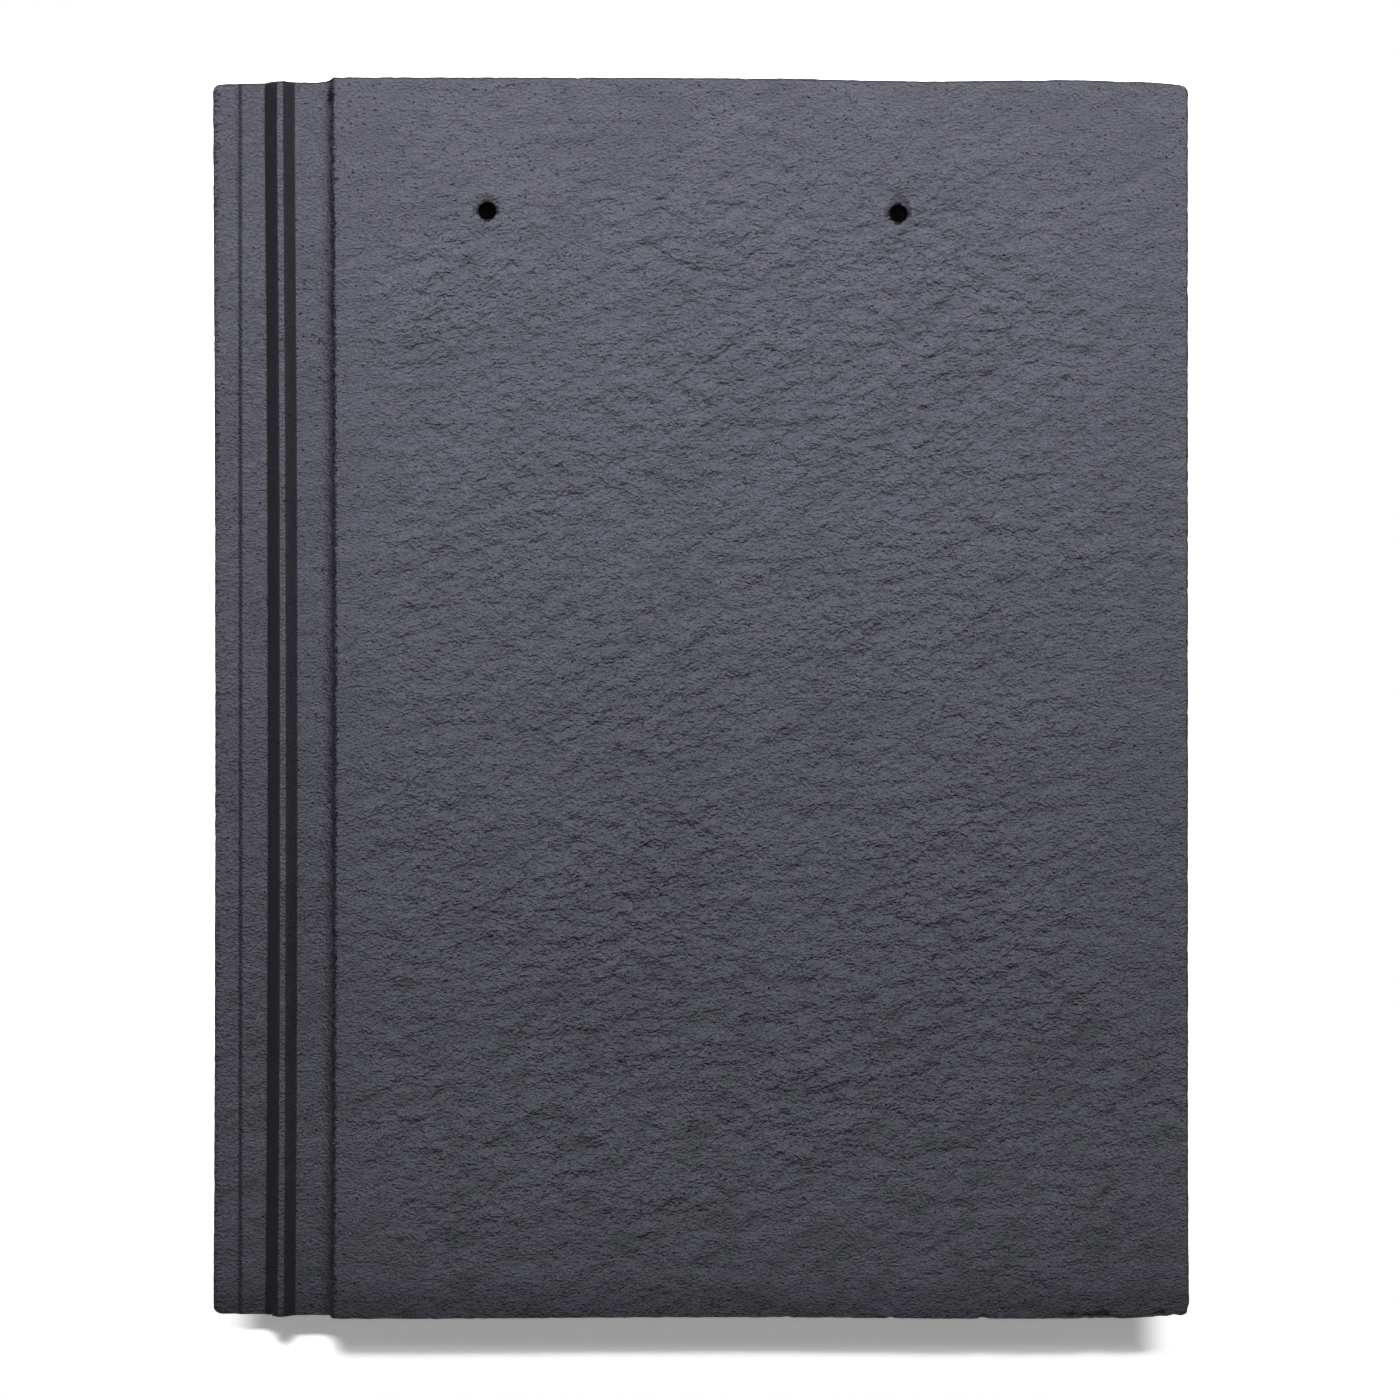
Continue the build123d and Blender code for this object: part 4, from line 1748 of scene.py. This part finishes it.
@dataclass(frozen=True)
class Studio:
    """The floor, the light and the camera round the tile.

    Args:
        field: The width of the photograph's frame at the weather face.
        distance: The camera's height over the weather face.
        aim: The point of the tile under the middle of the frame.
        sensor: The width of the camera's sensor in millimetres.
        sight: How far the camera sees.
        floor_size: The side of the square floor.
        nose_inset: How far inside the tail edge the nose touches it.
        covered: How far inside the tile's outline the floor counts as hidden below it.
        key_power: The power of the key light in watts.
        key_place: The place of the key light.
        key_target: The point that it faces.
        key_size: Its width and depth.
        key_spread: The opening of its grid, in degrees.
        fill: The strength of the even light all round.
        floor_tone: The floor's grey for the light that it throws back.
        floor_glow: The white that the camera always sees in the floor.
        floor_gain: How much of the floor's light the camera sees besides.
        floor_reach: How far beyond the tile the floor turns from that to plain white, which also paints light
            over the far edge of the tile's shadow.
        shadow_ends: How far within the tile's sides the ends of its shadow below the tail are painted out to
            white.
    """

    field: float = 0.4709
    distance: float = 1.927
    aim: tuple[float, float] = (0.35 * MM, -0.67 * MM)
    sensor: float = 36.0
    sight: float = 20.0
    floor_size: float = 8.0
    nose_inset: float = 2 * MM
    covered: float = 3 * MM
    key_power: float = 22.3
    key_place: tuple[float, float, float] = (0.0, 1.81, 1.96)
    key_target: tuple[float, float, float] = (0.0, 0.80, 0.0)
    key_size: tuple[float, float] = (2.4, 1.6)
    key_spread: float = 28.0
    fill: float = 0.08
    floor_tone: float = 0.6
    floor_glow: float = 0.22
    floor_gain: float = 1.9
    floor_reach: tuple[float, float] = (10 * MM, 22.5 * MM)
    shadow_ends: tuple[float, float] = (18 * MM, 4 * MM)

    def build(self, shape: CastShape) -> None:
        """Set up everything round the tile.

        Args:
            shape: The cast shape.
        """
        self.place_camera(shape.high[2])
        self.place_floor(shape)
        self.place_key()
        self.light_world()
        bpy.context.scene.view_settings.view_transform = "Standard"

    def place_camera(self, face_level: float) -> None:
        """Hang the camera square over the weather face, with the head at the top of the frame.

        Args:
            face_level: The height of the weather face.
        """
        camera = bpy.data.cameras.new("camera")
        camera.sensor_width = self.sensor
        camera.lens = self.sensor * self.distance / self.field
        camera.clip_end = self.sight
        holder = in_scene("camera", camera)
        holder.location = (*self.aim, face_level + self.distance)
        bpy.context.scene.camera = holder

    def place_floor(self, shape: CastShape) -> None:
        """Lay the floor under the nib tips and the nose, which it touches.

        Args:
            shape: The cast shape.
        """
        lowest = [c for c in shape.corners if c[2] < shape.low[2] + SAME_LEVEL]
        nib_y = float(np.mean([corner[1] for corner in lowest]))
        nose_y = shape.low[1] + self.nose_inset
        slope = shape.level(0.0, nose_y, Side.BELOW) / (nib_y - nose_y)
        half = self.floor_size / 2
        square = ((-half, -half), (half, -half), (half, half), (-half, half))
        mesh = bpy.data.meshes.new("studio_floor")
        mesh.from_pydata([(x, y, slope * (nib_y - y)) for x, y in square], [], [(0, 1, 2, 3)])
        mesh.materials.append(self.floor_material(shape))
        floor = in_scene("studio_floor", mesh)

    def floor_material(self, shape: CastShape) -> bpy.types.Material:
        """Make a pale floor that the camera sees as white, with the tile's shadow kept, but its ends and far
        edge painted lighter towards white.

        Args:
            shape: The cast shape.

        Returns:
            The material.
        """
        material = bpy.data.materials.new("studio_floor")
        material.use_nodes = True
        bench = Bench(material.node_tree)
        bench.tree.nodes.clear()
        rays = bench.put("ShaderNodeLightPath")
        x, y, _ = bench.split(bench.put("ShaderNodeTexCoord").outputs["Object"])
        out_x = bench.math("SUBTRACT", bench.math("ABSOLUTE", x), float(shape.high[0]))
        out_y = bench.math("SUBTRACT", bench.math("ABSOLUTE", y), float(shape.high[1]))
        beyond = bench.largest(out_x, out_y)
        seen = bench.product(self.seen(bench, rays), bench.math("GREATER_THAN", beyond, -self.covered))
        tone = (self.floor_tone,) * 3 + (1.0,)
        gain = (self.floor_gain,) * 3 + (1.0,)
        bounced = bench.put("ShaderNodeBsdfDiffuse", {"Color": tone}).outputs[0]
        glow = bench.put("ShaderNodeEmission", {"Strength": self.floor_glow}).outputs[0]
        lit = bench.put("ShaderNodeBsdfDiffuse", {"Color": gain}).outputs[0]
        near = bench.put("ShaderNodeAddShader", {0: glow, 1: lit}).outputs[0]
        white = bench.put("ShaderNodeEmission", {"Strength": 1.0}).outputs[0]
        # Painted light: the shadow's ends below the tail and its far edge fade to plain white.
        below = bench.math("LESS_THAN", y, float(shape.low[1]))
        ends = bench.product(bench.span(out_x, -self.shadow_ends[0], -self.shadow_ends[1]), below)
        far = bench.largest(bench.span(beyond, *self.floor_reach), ends)
        shown = bench.put("ShaderNodeMixShader", {0: far, 1: near, 2: white}).outputs[0]
        front = bench.put("ShaderNodeMixShader", {0: seen, 1: bounced, 2: shown}).outputs[0]
        behind = bench.put("ShaderNodeNewGeometry").outputs["Backfacing"]
        hidden = bench.product(behind, rays.outputs["Is Camera Ray"])
        clear = bench.put("ShaderNodeBsdfTransparent").outputs[0]
        surface = bench.put("ShaderNodeMixShader", {0: hidden, 1: front, 2: clear}).outputs[0]
        bench.put("ShaderNodeOutputMaterial", {"Surface": surface})
        return material

    @staticmethod
    def seen(bench: Bench, rays: bpy.types.Node) -> Socket:
        """Return 1 for rays from the camera and for rays that gloss or glass send on."""
        kinds = ("Is Camera Ray", "Is Glossy Ray", "Is Transmission Ray")
        return bench.largest(*(rays.outputs[kind] for kind in kinds))

    def place_key(self) -> None:
        """Hang the gridded softbox beyond the head, whose light falls off towards the tail."""
        light = bpy.data.lights.new("key_softbox", "AREA")
        light.shape = "RECTANGLE"
        light.size, light.size_y = self.key_size
        light.energy = self.key_power
        light.spread = math.radians(self.key_spread)
        holder = in_scene("key_softbox", light)
        holder.location = self.key_place
        way = Vector(self.key_target) - Vector(self.key_place)
        holder.rotation_euler = way.to_track_quat("-Z", "Y").to_euler()

    def light_world(self) -> None:
        """Fill the room with a low even light, and show white behind the floor."""
        world = bpy.data.worlds.new("studio_room")
        world.use_nodes = True
        bpy.context.scene.world = world
        bench = Bench(world.node_tree)
        bench.tree.nodes.clear()
        rays = bench.put("ShaderNodeLightPath")
        fill = bench.put("ShaderNodeBackground", {"Color": (1, 1, 1, 1), "Strength": self.fill}).outputs[0]
        white = bench.put("ShaderNodeBackground", {"Color": (1, 1, 1, 1), "Strength": 1.0}).outputs[0]
        seen = self.seen(bench, rays)
        surface = bench.put("ShaderNodeMixShader", {0: seen, 1: fill, 2: white}).outputs[0]
        bench.put("ShaderNodeOutputWorld", {"Surface": surface})


def main() -> None:
    """Build the tile and the studio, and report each."""
    logging.basicConfig(level=logging.INFO, format="%(message)s")
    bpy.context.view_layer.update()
    shape = CastShape()
    tile = RoofTile().build(shape)
    triangles = sum(len(face.vertices) - 2 for face in tile.data.polygons)
    logger.info("%s: %d points, %d triangles", tile.name, len(tile.data.vertices), triangles)
    Studio().build(shape)
    logger.info("studio: floor, softbox, room light and camera")


if __name__ == "__main__":
    main()
